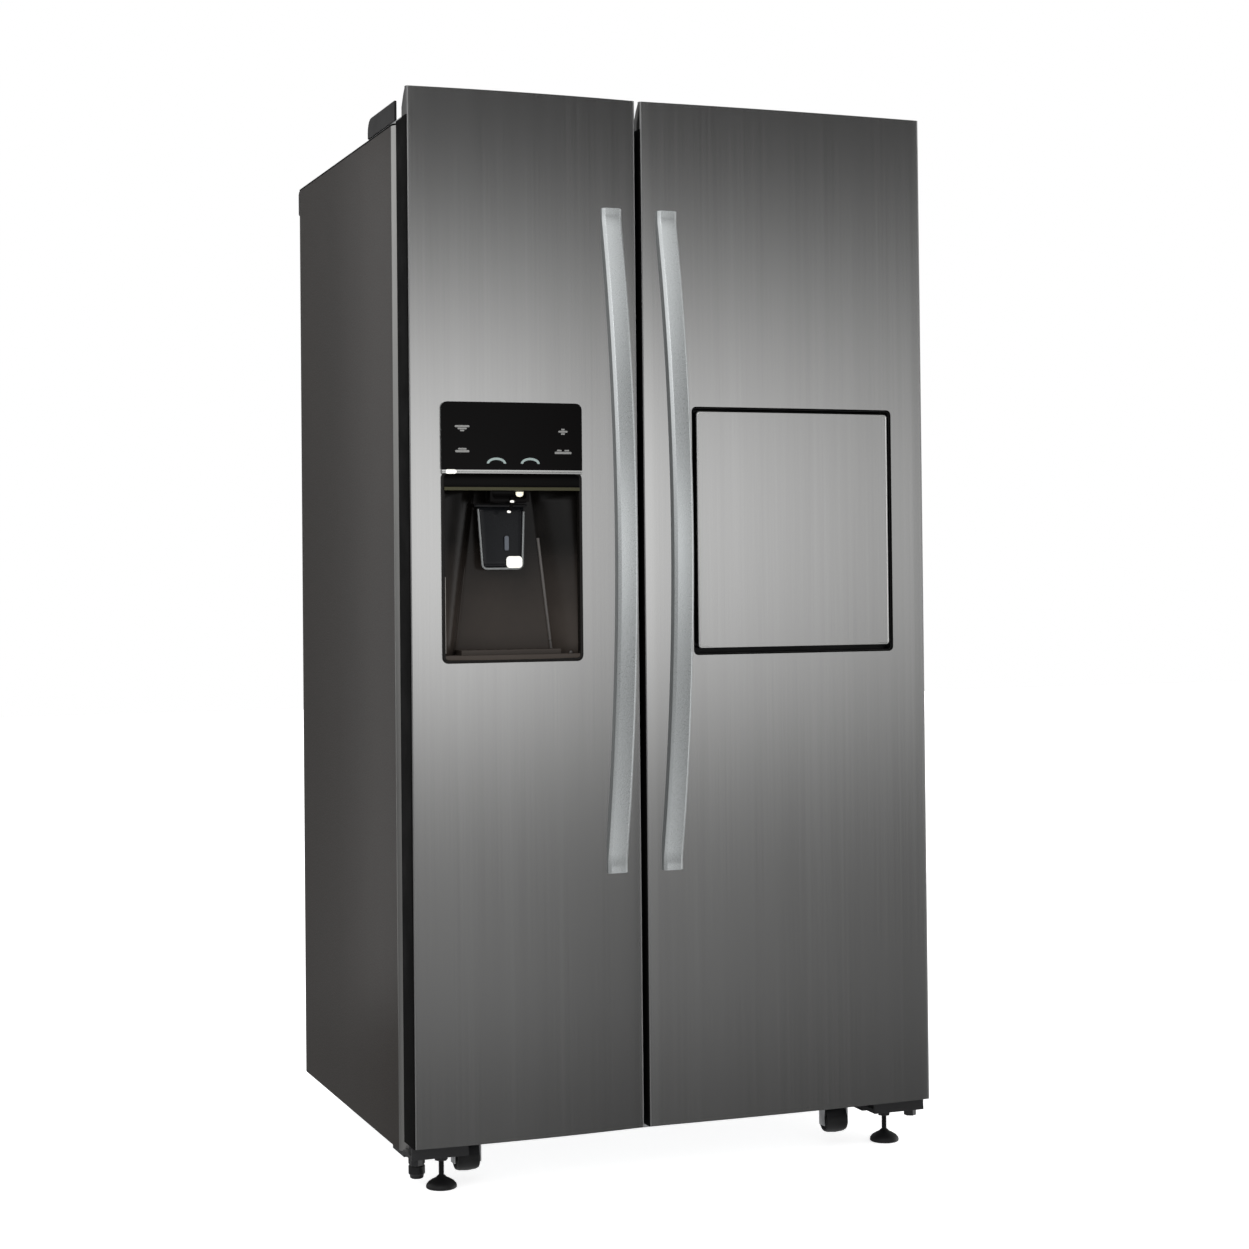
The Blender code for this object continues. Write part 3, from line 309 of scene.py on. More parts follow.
def finishes():
    """The record's slots first, then finishes that belong to one of them."""
    add_finish(brushed, "door_steel", (0.43, 0.43, 0.426), 0.21, 0.008, anisotropy=0.85, depth=0.5)
    add_finish(satin, "handle_metal", (0.56, 0.585, 0.59), 0.28, 0.85)
    add_finish(painted, "cabinet_paint", (0.013, 0.01, 0.0078), 0.4)
    add_finish(zinc, "galvanised", (0.55, 0.56, 0.57), 0.42)
    add_finish(painted, "black_steel", (0.012, 0.012, 0.013), 0.38)
    add_finish(moulded, "black_plastic", (0.008, 0.008, 0.0085), 0.45, gloss=0.25)
    add_finish(moulded, "gloss_black", (0.0012, 0.001, 0.001), 0.06, depth=0.000002, gloss=0.05)
    add_finish(moulded, "grey_plastic", (0.13, 0.13, 0.13), 0.42)
    add_finish(moulded, "white_liner", (0.8, 0.81, 0.82), 0.34, depth=0.000001, mottle=0.004, uneven=0.02)
    add_finish(foamed, "foam", (0.8, 0.66, 0.36))
    add_finish(moulded, "gasket_rubber", (0.055, 0.055, 0.056), 0.62, 500.0, 0.00004)
    add_finish(clear, "clear_plastic", (0.86, 0.92, 0.95), 0.08, 0.92)
    add_finish(clear, "shelf_glass", (0.82, 0.93, 0.9), 0.02, 0.95)
    add_finish(brushed, "aluminium", (0.72, 0.73, 0.74), 0.32, 0.04, "X", 0.0)
    add_finish(satin, "lip_side", (0.15, 0.15, 0.15), 0.4, 1.0, slot="door_steel")
    # A darker copy of the door steel for the door sheets' bends: painted shade
    add_finish(satin, "bend_steel", (0.26, 0.26, 0.26), 0.45, 1.0, slot="door_steel")
    # A lighter copy of the door steel for the flap's soft edge: a painted highlight
    add_finish(satin, "bright_edge", (0.6, 0.6, 0.59), 0.32, 1.0, slot="door_steel")
    # A bright metal for the painted sheet's round front corner: a painted highlight
    add_finish(satin, "corner_metal", (0.42, 0.42, 0.41), 0.3, 1.0, slot="cabinet_paint")
    # A darker copy of the handle metal for the bar's sides and back: painted shade
    add_finish(satin, "handle_side", (0.2, 0.212, 0.214), 0.36, 0.6, slot="handle_metal")
    add_finish(satin, "chrome", (0.58, 0.58, 0.57), 0.16, 1.0, slot="handle_metal")
    # Black for sides, lips and collars; also painted shade on the outer half of the door sheets' bends and
    # along the side sheets' top edges
    add_finish(moulded, "edge_black", (0.0022, 0.0022, 0.0022), 0.65, gloss=0.04, slot="black_plastic")
    add_finish(moulded, "bezel", (0.004, 0.0034, 0.003), 0.22, depth=0.000004, gloss=0.2,
               slot="black_plastic")
    # The niche's moulding, with painted shade towards its top; the sill and drip tray take it too
    add_finish(niche_plastic, "recess", (0.036, 0.029, 0.0245), slot="black_plastic")
    # A lighter moulding for painted highlights: along the niche's back crease, on its floor studs and on the
    # paddle's rib
    add_finish(moulded, "rib", (0.078, 0.072, 0.068), 0.3, slot="black_plastic")
    # A light moulding for the strip inside the niche mouth's left edge: a painted reflection
    add_finish(moulded, "lip", (0.24, 0.225, 0.21), 0.3, slot="black_plastic")
    add_finish(moulded, "olive", (0.04, 0.038, 0.02), 0.35, gloss=0.2, slot="gloss_black")
    add_finish(lit, "icon", (0.17, 0.17, 0.165), 0.08, slot="gloss_black")
    add_finish(lit, "icon_cool", (0.21, 0.26, 0.25), 0.12, slot="gloss_black")
    add_finish(moulded, "paddle", (0.006, 0.0065, 0.0075), 0.16, depth=0.000004, gloss=0.25,
               slot="clear_plastic")
    # A bluish grey for the rib that paints the paddle's reflection
    add_finish(moulded, "paddle_rib", (0.06, 0.068, 0.082), 0.2, depth=0.000004, slot="clear_plastic")
    # A bright metal for the paddle's clear edge: a painted highlight
    add_finish(satin, "paddle_edge", (0.26, 0.27, 0.27), 0.25, 0.7, slot="clear_plastic")
    # These two glow though they are no lamps: painted highlights on the nozzle, the silver strip's end and
    # the paddle
    add_finish(lit, "glint", (0.8, 0.79, 0.74), 0.35, slot="clear_plastic")
    add_finish(lit, "lens", (0.88, 0.84, 0.66), 0.3, slot="clear_plastic")
    add_finish(lit, "led", (0.95, 0.97, 1.0), 0.8, slot="clear_plastic")


# Mesh makers, in world coordinates

def block(xs, ys, zs):
    """A plain block, for the thin fins only."""
    bm = bmesh.new()
    bmesh.ops.create_cube(bm, size=1.0)
    size = (xs[1] - xs[0], ys[1] - ys[0], zs[1] - zs[0])
    bmesh.ops.scale(bm, verts=bm.verts, vec=size)
    bmesh.ops.translate(bm, verts=bm.verts, vec=(sum(xs) / 2, sum(ys) / 2, sum(zs) / 2))
    return bm


def world_point(u, v, along, axis):
    """A point at along on the axis, and at u and v on the other two."""
    if axis == "X":
        return (along, u, v)
    if axis == "Y":
        return (u, along, v)
    return (u, v, along)


def prism(outline, span, axis):
    """An outline extruded along X (y, z), along Y (x, z) or along Z (x, y)."""
    bm = bmesh.new()
    ends = [[bm.verts.new(world_point(u, v, along, axis)) for u, v in outline] for along in span]
    bm.faces.new(ends[0][::-1])
    bm.faces.new(ends[1])
    count = len(outline)
    for i in range(count):
        j = (i + 1) % count
        bm.faces.new((ends[0][i], ends[0][j], ends[1][j], ends[1][i]))
    return bm


def slab(us, vs, radius, span, axis, steps=6):
    """A slab with round corners, extruded along an axis as a prism is."""
    return prism(rounded(us, vs, radius, steps), span, axis)


def loft(loops, closed=False):
    """A skin through loops of points, each loop with the same number of points."""
    bm = bmesh.new()
    rings = [[bm.verts.new(point) for point in loop] for loop in loops]
    pairs = list(zip(rings, rings[1:]))
    if closed:
        pairs.append((rings[-1], rings[0]))
    count = len(rings[0])
    for first, second in pairs:
        for i in range(count):
            j = (i + 1) % count
            bm.faces.new((first[i], first[j], second[j], second[i]))
    if not closed:
        bm.faces.new(rings[0][::-1])
        bm.faces.new(rings[-1])
    return bm


def lathe(profile, centre, axis, steps=32, ring=False):
    """A profile of (radius, distance along the axis) turned about centre; a ring's profile is a loop."""
    loops = []
    for radius, along in profile:
        loop = []
        for i in range(steps):
            angle = 2 * math.pi * i / steps
            offset = world_point(radius * math.cos(angle), radius * math.sin(angle), along, axis)
            loop.append(Vector(centre) + Vector(offset))
        loops.append(loop)
    bm = loft(loops, closed=ring)
    bmesh.ops.remove_doubles(bm, verts=bm.verts, dist=1e-6)
    return bm


def arc(centre, radius, start, end, steps=6):
    """Points on a circle from one angle to another, in degrees."""
    points = []
    for i in range(steps + 1):
        angle = math.radians(start + (end - start) * i / steps)
        points.append((centre[0] + radius * math.cos(angle), centre[1] + radius * math.sin(angle)))
    return points


def rounded(us, vs, radius, steps=6):
    """A rectangle with round corners."""
    left, right = us[0] + radius, us[1] - radius
    low, high = vs[0] + radius, vs[1] - radius
    return (
        arc((right, low), radius, -90, 0, steps) + arc((right, high), radius, 0, 90, steps)
        + arc((left, high), radius, 90, 180, steps) + arc((left, low), radius, 180, 270, steps)
    )


def grown(span, by):
    """A span made longer at both ends."""
    return (span[0] - by, span[1] + by)


def joined(parts):
    """Several shapes as one mesh of separate shells."""
    whole = bmesh.new()
    for part in parts:
        mesh = bpy.data.meshes.new("part")
        part.to_mesh(mesh)
        part.free()
        whole.from_mesh(mesh)
        bpy.data.meshes.remove(mesh)
    return whole


def rim(xs, zs, radius, profile, steps=6):
    """A closed frame with round corners; its section is a loop of (distance inwards, depth)."""
    loops = []
    for inward, depth in profile:
        outline = rounded(grown(xs, -inward), grown(zs, -inward), max(radius - inward, 0.0005), steps)
        loops.append([(x, at(depth), z) for x, z in outline])
    return loft(loops, closed=True)


def cup(xs, depths, zs, radius, wall, draft=0.0):
    """An open box with round corners, narrower at the bottom by the draft."""
    def plan(inward, z):
        outline = rounded(grown(xs, -inward), grown(depths, -inward), radius - min(inward, radius * 0.6))
        return [(x, at(depth), z) for x, depth in outline]

    lip = min(wall * 0.4, 0.001)
    return loft([
        plan(draft + 0.002, zs[0]), plan(draft, zs[0] + 0.002), plan(0.0, zs[1] - lip), plan(lip, zs[1]),
        plan(wall - lip, zs[1]), plan(wall, zs[1] - lip), plan(draft + wall, zs[0] + wall + 0.002),
        plan(draft + wall + 0.002, zs[0] + wall),
    ])


def tube(points, radius, sides=10):
    """A round wire or pipe through points."""
    path = [Vector(point) for point in points]
    loops = []
    side = None
    for i, point in enumerate(path):
        tangent = (path[min(i + 1, len(path) - 1)] - path[max(i - 1, 0)]).normalized()
        side = side or tangent.orthogonal()
        side = (side - tangent * side.dot(tangent)).normalized()
        up = tangent.cross(side)
        angles = [2 * math.pi * k / sides for k in range(sides)]
        loops.append([point + radius * (math.cos(a) * side + math.sin(a) * up) for a in angles])
    return loft(loops)


def sheet_grid(rows, floor=False):
    """An open skin through rows of points; floor closes the first and last rows."""
    bm = bmesh.new()
    grid = [[bm.verts.new(point) for point in row] for row in rows]
    for low_row, high_row in zip(grid, grid[1:]):
        for i in range(len(low_row) - 1):
            bm.faces.new((low_row[i], low_row[i + 1], high_row[i + 1], high_row[i]))
    if floor:
        bm.faces.new(grid[0])
        bm.faces.new(grid[-1][::-1])
    return bm


def thicken(obj, thickness):
    """Gives an open skin its wall."""
    solid = obj.modifiers.new("wall", "SOLIDIFY")
    solid.thickness = thickness
    solid.offset = 0.0


def slice_mesh(bm, place, normal):
    """Adds edges where a plane crosses the mesh."""
    geometry = bm.verts[:] + bm.edges[:] + bm.faces[:]
    bmesh.ops.bisect_plane(bm, geom=geometry, plane_co=place, plane_no=normal)


def screw(place, axis, radius):
    """A pan head with a drive hole, which faces along the axis."""
    profile = [
        (0.0, 0.0008), (radius * 0.35, 0.0008), (radius * 0.42, 0.0022), (radius * 0.75, 0.0021),
        (radius, 0.001), (radius, -0.0004), (0.0, -0.0004),
    ]
    return lathe(profile, place, axis, 20)


def screws(name, places, axis, radius=0.0042):
    """Screw heads of one row as one piece."""
    piece(name, joined([screw(place, axis, radius) for place in places]), "galvanised", "cabinet")


def piece(name, bm, look, body, bevel=0.0, segments=2, stands_for=(), angle=38):
    """A shown piece from a mesh, with its finish, its body and softened edges."""
    bmesh.ops.recalc_face_normals(bm, faces=bm.faces)
    mesh = bpy.data.meshes.new(name)
    bm.to_mesh(mesh)
    bm.free()
    obj = linked(name, mesh)
    material, slot = FINISHES[look]
    mesh.materials.append(material)
    if bevel:
        soften = obj.modifiers.new("soften", "BEVEL")
        soften.width = bevel
        soften.segments = segments
        soften.limit_method = "ANGLE"
        soften.angle_limit = math.radians(30)
        soften.harden_normals = True
    mesh.shade_smooth()
    mesh.set_sharp_from_angle(angle=math.radians(angle))
    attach(obj, body)
    if stands_for:
        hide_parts(*stands_for)
    return obj


def repaint(obj, looks, choose):
    """More finishes on a piece: choose tells a face's place in looks, from 1, or 0 for its first finish."""
    for look in looks:
        obj.data.materials.append(FINISHES[look][0])
    for face in obj.data.polygons:
        face.material_index = choose(face)


def body_of(node):
    """The body that a CAD node rides on."""
    return NODES[node]["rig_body"]


def cad_shape(node):
    """A CAD node's mesh, welded and free of edges inside its flat faces."""
    bm = bmesh.new()
    bm.from_mesh(NODES[node].data)
    bmesh.ops.remove_doubles(bm, verts=bm.verts, dist=1e-6)
    bmesh.ops.dissolve_limit(bm, angle_limit=math.radians(0.5), verts=bm.verts, edges=bm.edges)
    return bm


def refined(node, bevel, look=None, segments=2, angle=38):
    """A CAD node's own shape with softened edges, shown in its place."""
    look = look or slot_of(node)
    piece(f"{node}_shell", cad_shape(node), look, body_of(node), bevel, segments, (node,), angle)


def slot_of(node):
    """The record's material slot of a CAD node."""
    for entry in frame["record"]["subparts"]:
        if entry["node"] == node:
            return entry["material_slot"]


def dress_cad():
    """Every CAD node gets its slot's procedural material."""
    for name, obj in NODES.items():
        obj.data.materials.clear()
        obj.data.materials.append(FINISHES[slot_of(name)][0])


# Doors

def bow(door, x):
    """How far a door's front stands out at x, because foaming bows its sheet."""
    low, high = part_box(f"{door}_skin")
    share = (2 * x - low.x - high.x) / (high.x - low.x)
    return DOOR_CROWNS[door] * (1 - min(1.0, share * share))


def bowed_rim(door, xs, zs, radius, section):
    """A closed frame with round corners that follows the bow of a door's front."""
    loops = []
    for inward, depth in section:
        outline = rounded(grown(xs, -inward), grown(zs, -inward), max(radius - inward, 0.0005))
        loops.append([(x, at(depth) - bow(door, x), z) for x, z in outline])
    return loft(loops, closed=True)


def crown(bm, door, lift=0.0):
    """Bows the front of a door's sheet or of what is set in it, and lifts it."""
    low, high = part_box(f"{door}_skin")
    strips = 24
    for i in range(1, strips):
        slice_mesh(bm, (low.x + (high.x - low.x) * i / strips, 0, 0), (1, 0, 0))
    slice_mesh(bm, (0, 0, CABINET_TOP), (0, 0, 1))
    for vert in bm.verts:
        if vert.co.y < at(0.004):
            vert.co.y -= bow(door, vert.co.x) + lift
    return bm


def door_skin(name):
    """The brushed front sheet, with painted shade on its bends: darker steel on their inner half, the sides'
    finish on their outer half; its folded sides are black below the top lip.
    """
    skin = piece(f"{name}_sheet", crown(cad_shape(name), body_of(name)), "door_steel",
                 body_of(name), stands_for=(name,), angle=50)

    # Painted shade: the outer half of each bend takes the sides' finish, and its inner half takes darker
    # steel
    def choose(face):
        above = face.center.z > CABINET_TOP
        if abs(face.normal.x) > 0.6 or (face.center.y > at(0.006) and not above):
            return 2 if above else 1
        return 3 if abs(face.normal.x) > 0.2 else 0

    repaint(skin, ("edge_black", "lip_side", "bend_steel"), choose)


def handle(name):
    """The bowed bar: its ends stand on the door and its front edges are chamfered; painted shade darkens its
    sides and its back.
    """
    low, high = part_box(name)
    half = (high.x - low.x) / 2
    x, _, middle = centre_of(name)
    thick, chamfer, soft = 0.014, 0.0045, 0.0012
    section = [(-half, HANDLE_ROOT)]
    section += arc((-half + soft, -thick + chamfer + soft / 2), soft, 180, 225, 3)
    section += arc((-half + chamfer + soft / 2, -thick + soft), soft, 225, 270, 3)
    section += [(-u, v) for u, v in section[::-1]]
    pad, steps = 0.018, 72
    heights = [low.z, low.z + pad / 2]
    heights += [low.z + pad + (high.z - low.z - 2 * pad) * i / steps for i in range(steps + 1)]
    heights += [high.z - pad / 2, high.z]
    reach = (high.z - low.z) / 2 - pad
    loops = []
    for z in heights:
        share = max(-1.0, min(1.0, (z - middle) / reach))
        out = (high.y - low.y - thick) * (1 - share * share)
        loops.append([(x + u, high.y + v - out, z) for u, v in section])
    bar = piece(f"{name}_bar", loft(loops), "handle_metal", body_of(name), 0.0006, 2, (name,), 30)
    bar.visible_glossy = False
    # The bar's sides and its back towards the door take darker metal: painted shade
    repaint(bar, ("handle_side",), lambda face: abs(face.normal.x) > 0.9 or face.normal.y > 0.5)


def gasket(name):
    """A magnetic seal: a ribbed bellows with a flat face towards the cabinet."""
    low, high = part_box(name)
    near, far = low.y - FACE, high.y - FACE
    wide, middle = 0.012, (near + far) / 2
    profile = [
        (0.002, near), (0.0002, near + 0.0015), (0.0018, middle - 0.0012), (0.0004, middle + 0.0012),
        (0.0000, far - 0.0018), (0.0012, far), (wide - 0.0012, far), (wide, far - 0.0018),
        (wide - 0.0004, middle + 0.0012), (wide - 0.0018, middle - 0.0012),
        (wide - 0.0002, near + 0.0015), (wide - 0.002, near),
    ]
    shape = rim((low.x, high.x), (low.z, high.z), 0.013, profile, 5)
    piece(f"{name}_bellows", shape, "gasket_rubber", body_of(name), stands_for=(name,), angle=50)


def bottle_bin(name, xs, z, body, stands_for=()):
    """A clear bin on the door's liner, with a rail across its front."""
    near, far = DOOR_BIN[0].y - FACE, DOOR_BIN[1].y - FACE
    tub = cup(xs, (near, far), (z, z + BIN_HEIGHT), 0.014, 0.0025, 0.004)
    piece(f"{name}_tub", tub, "clear_plastic", body, stands_for=stands_for)
    ys, zs = (far - 0.0052 + FACE, far - 0.0028 + FACE), (z + BIN_HEIGHT * 0.55, z + BIN_HEIGHT * 0.68)
    piece(f"{name}_rail", slab(ys, zs, 0.001, (xs[0] + 0.016, xs[1] - 0.016), "X", 3), "aluminium", body)


def doors():
    """Both doors: sheet, handle, seal, caps, liner and bottle bins."""
    for door in ("freezer_door", "fridge_door"):
        door_skin(f"{door}_skin")
        handle(f"{door}_handle")
        gasket(f"{door}_gasket")
        refined(f"{door}_top_cap", 0.0006)
        refined(f"{door}_bottom_cap", 0.0006)
        refined(f"{door}_liner", 0.0022, segments=3)
        low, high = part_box(f"{door}_bin")
        bottle_bin(f"{door}_low_bin", (low.x, high.x), low.z, door, (f"{door}_bin",))
    for door, bins in (("freezer_door", LEFT_BINS), ("fridge_door", RIGHT_BINS)):
        low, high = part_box(f"{door}_bin")
        for level, z in bins.items():
            bottle_bin(f"{door}_{level}_bin", (low.x, high.x), z, door)


# Dispenser

def dispenser():
    """The housing's bezel and niche, the touch panel, the strips between them and what a glass meets."""
    body = "freezer_door"
    outer_low, outer_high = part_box("dispenser_housing")
    panel_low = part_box("control_panel")[0]
    xs = (outer_low.x, outer_high.x)
    split = panel_low.z
    border = BEZEL_BORDER
    mouth = grown(xs, -border)
    ceiling = NICHE_CEILING
    sill_height, strip_gap = 0.012, 0.004
    floor = outer_low.z + sill_height
    bezel_top = split - strip_gap
    seat, lip, shoulder, proud, behind = -0.0004, -0.0012, -0.0022, -0.0028, 0.012
    wall = border - 0.0015
    profile = [
        (0.0, seat), (0.0, shoulder), (0.0007, proud), (border - 0.001, proud),
        (border - 0.0002, shoulder), (border, lip), (border, behind), (wall, behind), (wall, seat),
    ]
    shape = bowed_rim(body, xs, (outer_low.z, bezel_top), 0.01, profile)
    piece("dispenser_bezel", shape, "bezel", body, stands_for=("dispenser_housing",), angle=45)
    thickness, corner, overlap = 0.006, 0.001, 0.0006
    band = slab(span_at(proud, thickness), (ceiling, bezel_top), corner, grown(mouth, overlap), "X", 4)
    piece("dispenser_band", crown(band, body), "gloss_black", body)
    recess(mouth, floor, ceiling + 0.002)
    zs = (outer_low.z + border - overlap, floor + overlap)
    sill = slab(span_at(lip, thickness), zs, corner, mouth, "X", 4)
    piece("dispenser_sill", crown(sill, body), "recess", body)
    window = ((-0.3223, -0.2507), (1.1722, 1.2478))
    flange, outside, inside, near, far, back = -0.004, 0.0012, 0.0002, 0.052, 0.0603, 0.0612
    sleeve = [(flange, far), (flange, back), (outside, back), (outside, near), (inside, near), (inside, far)]
    piece("chute_sleeve", rim(*window, 0.003, sleeve, 3), "white_liner", body, angle=50)
    piece("control_panel_shell", crown(cad_shape("control_panel"), body), "gloss_black", body, 0.0007, 3,
          ("control_panel",))
    silver_depth, silver_radius = -0.0024, 0.0038
    silver_arc = arc((at(silver_depth), split - 0.0034), silver_radius, 90, 270, 8)
    silver = prism(silver_arc, grown(xs, -overlap), "X")
    piece("silver_strip", crown(silver, body), "chrome", body, 0.0003)
    # A glowing end on the silver strip: a painted highlight
    profile = [(0, -0.002), (0.0024, -0.002), (0.0035, 0), (0.0035, 0.013), (0.0024, 0.015), (0, 0.015)]
    place = (xs[0] + 0.009, at(-0.0044) - bow(body, xs[0] + 0.016), split - 0.0036)
    glint_end = lathe(profile, place, "X", 16)
    piece("silver_strip_end", glint_end, "glint", body)
    guide = prism(arc((at(-0.0024), ceiling + 0.003), 0.0028, 90, 270, 6), grown(mouth, 0.0004), "X")
    piece("olive_strip", crown(guide, body), "olive", body, 0.0002)
    panel_marks(panel_low.y)
    nozzle()
    paddle()
    refined("drip_tray", 0.0005, "recess")


def recess(mouth, floor, ceiling):
    """The glass's niche: its back is narrower than its mouth, and narrower still at the top."""
    rows = []
    levels = 14
    back_low, back_high = (-0.372, -0.201), (-0.341, -0.232)
    front, back, radius = 0.003, 0.049, 0.009
    for i in range(levels + 1):
        share = i / levels
        z = floor + (ceiling - floor) * share
        left = back_low[0] + (back_high[0] - back_low[0]) * share
        right = back_low[1] + (back_high[1] - back_low[1]) * share
        tilt = math.degrees(math.atan2(left - mouth[0], back - front))
        outline = [(mouth[0], front)]
        outline += arc((left + radius, back - radius), radius, 180 - tilt, 90, 6)
        outline += arc((right - radius, back - radius), radius, 90, tilt, 6)
        outline += [(mouth[1], front)]
        rows.append([(x, at(depth), z) for x, depth in outline])
    niche = piece("dispenser_recess", sheet_grid(rows, floor=True), "recess", "freezer_door", angle=60)
    thicken(niche, 0.0014)
    # A lighter tube along the niche's right back crease: a painted highlight
    inset, lean, foot, rise = 0.0036, 0.031, 0.004, 0.262
    crease = [(back_low[1] - inset - lean * share, at(back - inset), floor + foot + rise * share)
              for share in (0.0, 0.15, 0.3, 0.45, 0.6, 0.7)]
    highlight_radius, lip_radius, stud_height, stud_radius = 0.0024, 0.0015, 0.004, 0.0032
    piece("recess_rib", tube(crease, highlight_radius), "rib", "freezer_door")
    # A light strip inside the mouth's left edge: a painted reflection
    lip = [(mouth[0] + 0.0016, at(0.0022), floor + z) for z in (foot, 0.04, 0.08, 0.125)]
    piece("recess_lip", tube(lip, lip_radius), "lip", "freezer_door")
    # Studs on the niche's floor in the lighter moulding: painted highlights
    for name, x, depth in (("left", -0.205, back - 0.006), ("right", -0.183, 0.012)):
        stud = [(0, 0), (0.0028, 0), (stud_radius, 0.001), (0.0024, 0.0034), (0, stud_height)]
        shape = lathe(stud, (x, at(depth), floor + 0.0004), "Z", 16)
        piece(f"recess_stud_{name}", shape, "rib", "freezer_door")


def panel_marks(front):
    """Small generic marks behind the panel's gloss: stacked bars, and two arches."""
    proud, sunk = 0.00012, 0.0003
    depths = (front - proud, front + sunk)
    left, right = -0.37, -0.2015
    white, cool = [], []
    for x, z, bars in (
        (left, 1.218, ((0, 0.0038, 0.024, 0.0032), (0, 0.0002, 0.015, 0.0026),
                        (0, -0.003, 0.007, 0.0024))),
        (left, 1.183, ((0, 0.003, 0.014, 0.0026), (0, -0.0008, 0.023, 0.0036))),
        (right, 1.215, ((0, 0.0036, 0.006, 0.0026), (0, 0.0002, 0.016, 0.003),
                         (0, -0.0034, 0.007, 0.0026))),
        (right, 1.182, ((-0.0065, 0.0028, 0.008, 0.0024), (0.0065, 0.0028, 0.008, 0.0024),
                         (0, -0.001, 0.029, 0.0036))),
    ):
        for dx, dz, width, height in bars:
            spans = grown((x + dx, x + dx), width / 2), grown((z + dz, z + dz), height / 2)
            white.append(prism(rounded(*spans, height * 0.45, 3), depths, "Y"))
    for x in (-0.314, -0.2575):
        z, outer, inner = 1.163, (0.016, 0.0095), (0.012, 0.0058)
        turn = [math.pi * i / 12 for i in range(13)]
        outline = [(x + outer[0] * math.cos(a), z + outer[1] * math.sin(a)) for a in turn]
        outline += [(x + inner[0] * math.cos(a), z + inner[1] * math.sin(a)) for a in turn[::-1]]
        cool.append(prism(outline, depths, "Y"))
    piece("panel_marks", crown(joined(white), "freezer_door"), "icon", "freezer_door")
    piece("panel_arches", crown(joined(cool), "freezer_door"), "icon_cool", "freezer_door")


def nozzle():
    """The ice chute's glossy mouth, the bent water spout, and beside it glowing beads and a small glowing
    lens, which are painted highlights.
    """
    x = centre_of("ice_chute")[0]
    refined("ice_chute", 0.0004, "gloss_black")
    loops = []
    near, far = 0.005, 0.0345
    levels = ((0.0174, 0.0), (0.0104, 0.0), (0.0044, 0.0012), (0.0004, 0.0034), (0.0, 0.006))
    for rise, inward in levels:
        outline = rounded(grown((x, x), 0.0345 - inward), grown((near, far), -inward), 0.0095 - inward / 2)
        loops.append([(u, at(depth), CHUTE_MOUTH + rise) for u, depth in outline])
    outline = rounded(grown((x, x), 0.0275), grown((near, far), -0.007), 0.005)
    loops += [[(u, at(depth), z) for u, depth in outline] for z in (1.102, 1.118)]
    piece("chute_mouth", loft(loops, closed=True), "gloss_black", "freezer_door", angle=50)
    spout = [(-0.2835, 0.003, 1.11), (-0.2838, 0.002, 1.103), (-0.285, 0.0016, 1.097),
             (-0.287, 0.0018, 1.0915), (-0.2888, 0.0026, 1.087)]
    piece("water_spout", tube([(u, at(d), z) for u, d, z in spout], 0.0026), "gloss_black", "freezer_door")
    # Two beads on the spout that glow: painted highlights
    for name, place, radius in (
        ("spout_collar", (-0.284, at(0.002), 1.101), 0.0034),
        ("spout_tip", (-0.289, at(0.0028), 1.0848), 0.0032),
    ):
        edge = radius * 0.7
        ring = [(0, 0), (edge, 0), (radius, 0.0012), (radius, 0.003), (edge, 0.0042), (0, 0.0042)]
        piece(name, lathe(ring, place, "Z", 20), "glint", "freezer_door")
    # A small lens beside the spout that glows: a painted warm highlight
    lens = [(0, -0.003), (0.0026, -0.0022), (0.0042, 0.0004), (0.0044, 0.005), (0, 0.005)]
    glow_lens_shape = lathe(lens, (0, 0, 1.1135), "Z", 24)
    bmesh.ops.scale(glow_lens_shape, verts=glow_lens_shape.verts, vec=(1.5, 1.0, 1.0))
    bmesh.ops.translate(glow_lens_shape, verts=glow_lens_shape.verts, vec=(-0.2718, at(0.0005), 0))
    piece("spout_glow", glow_lens_shape, "lens", "freezer_door")


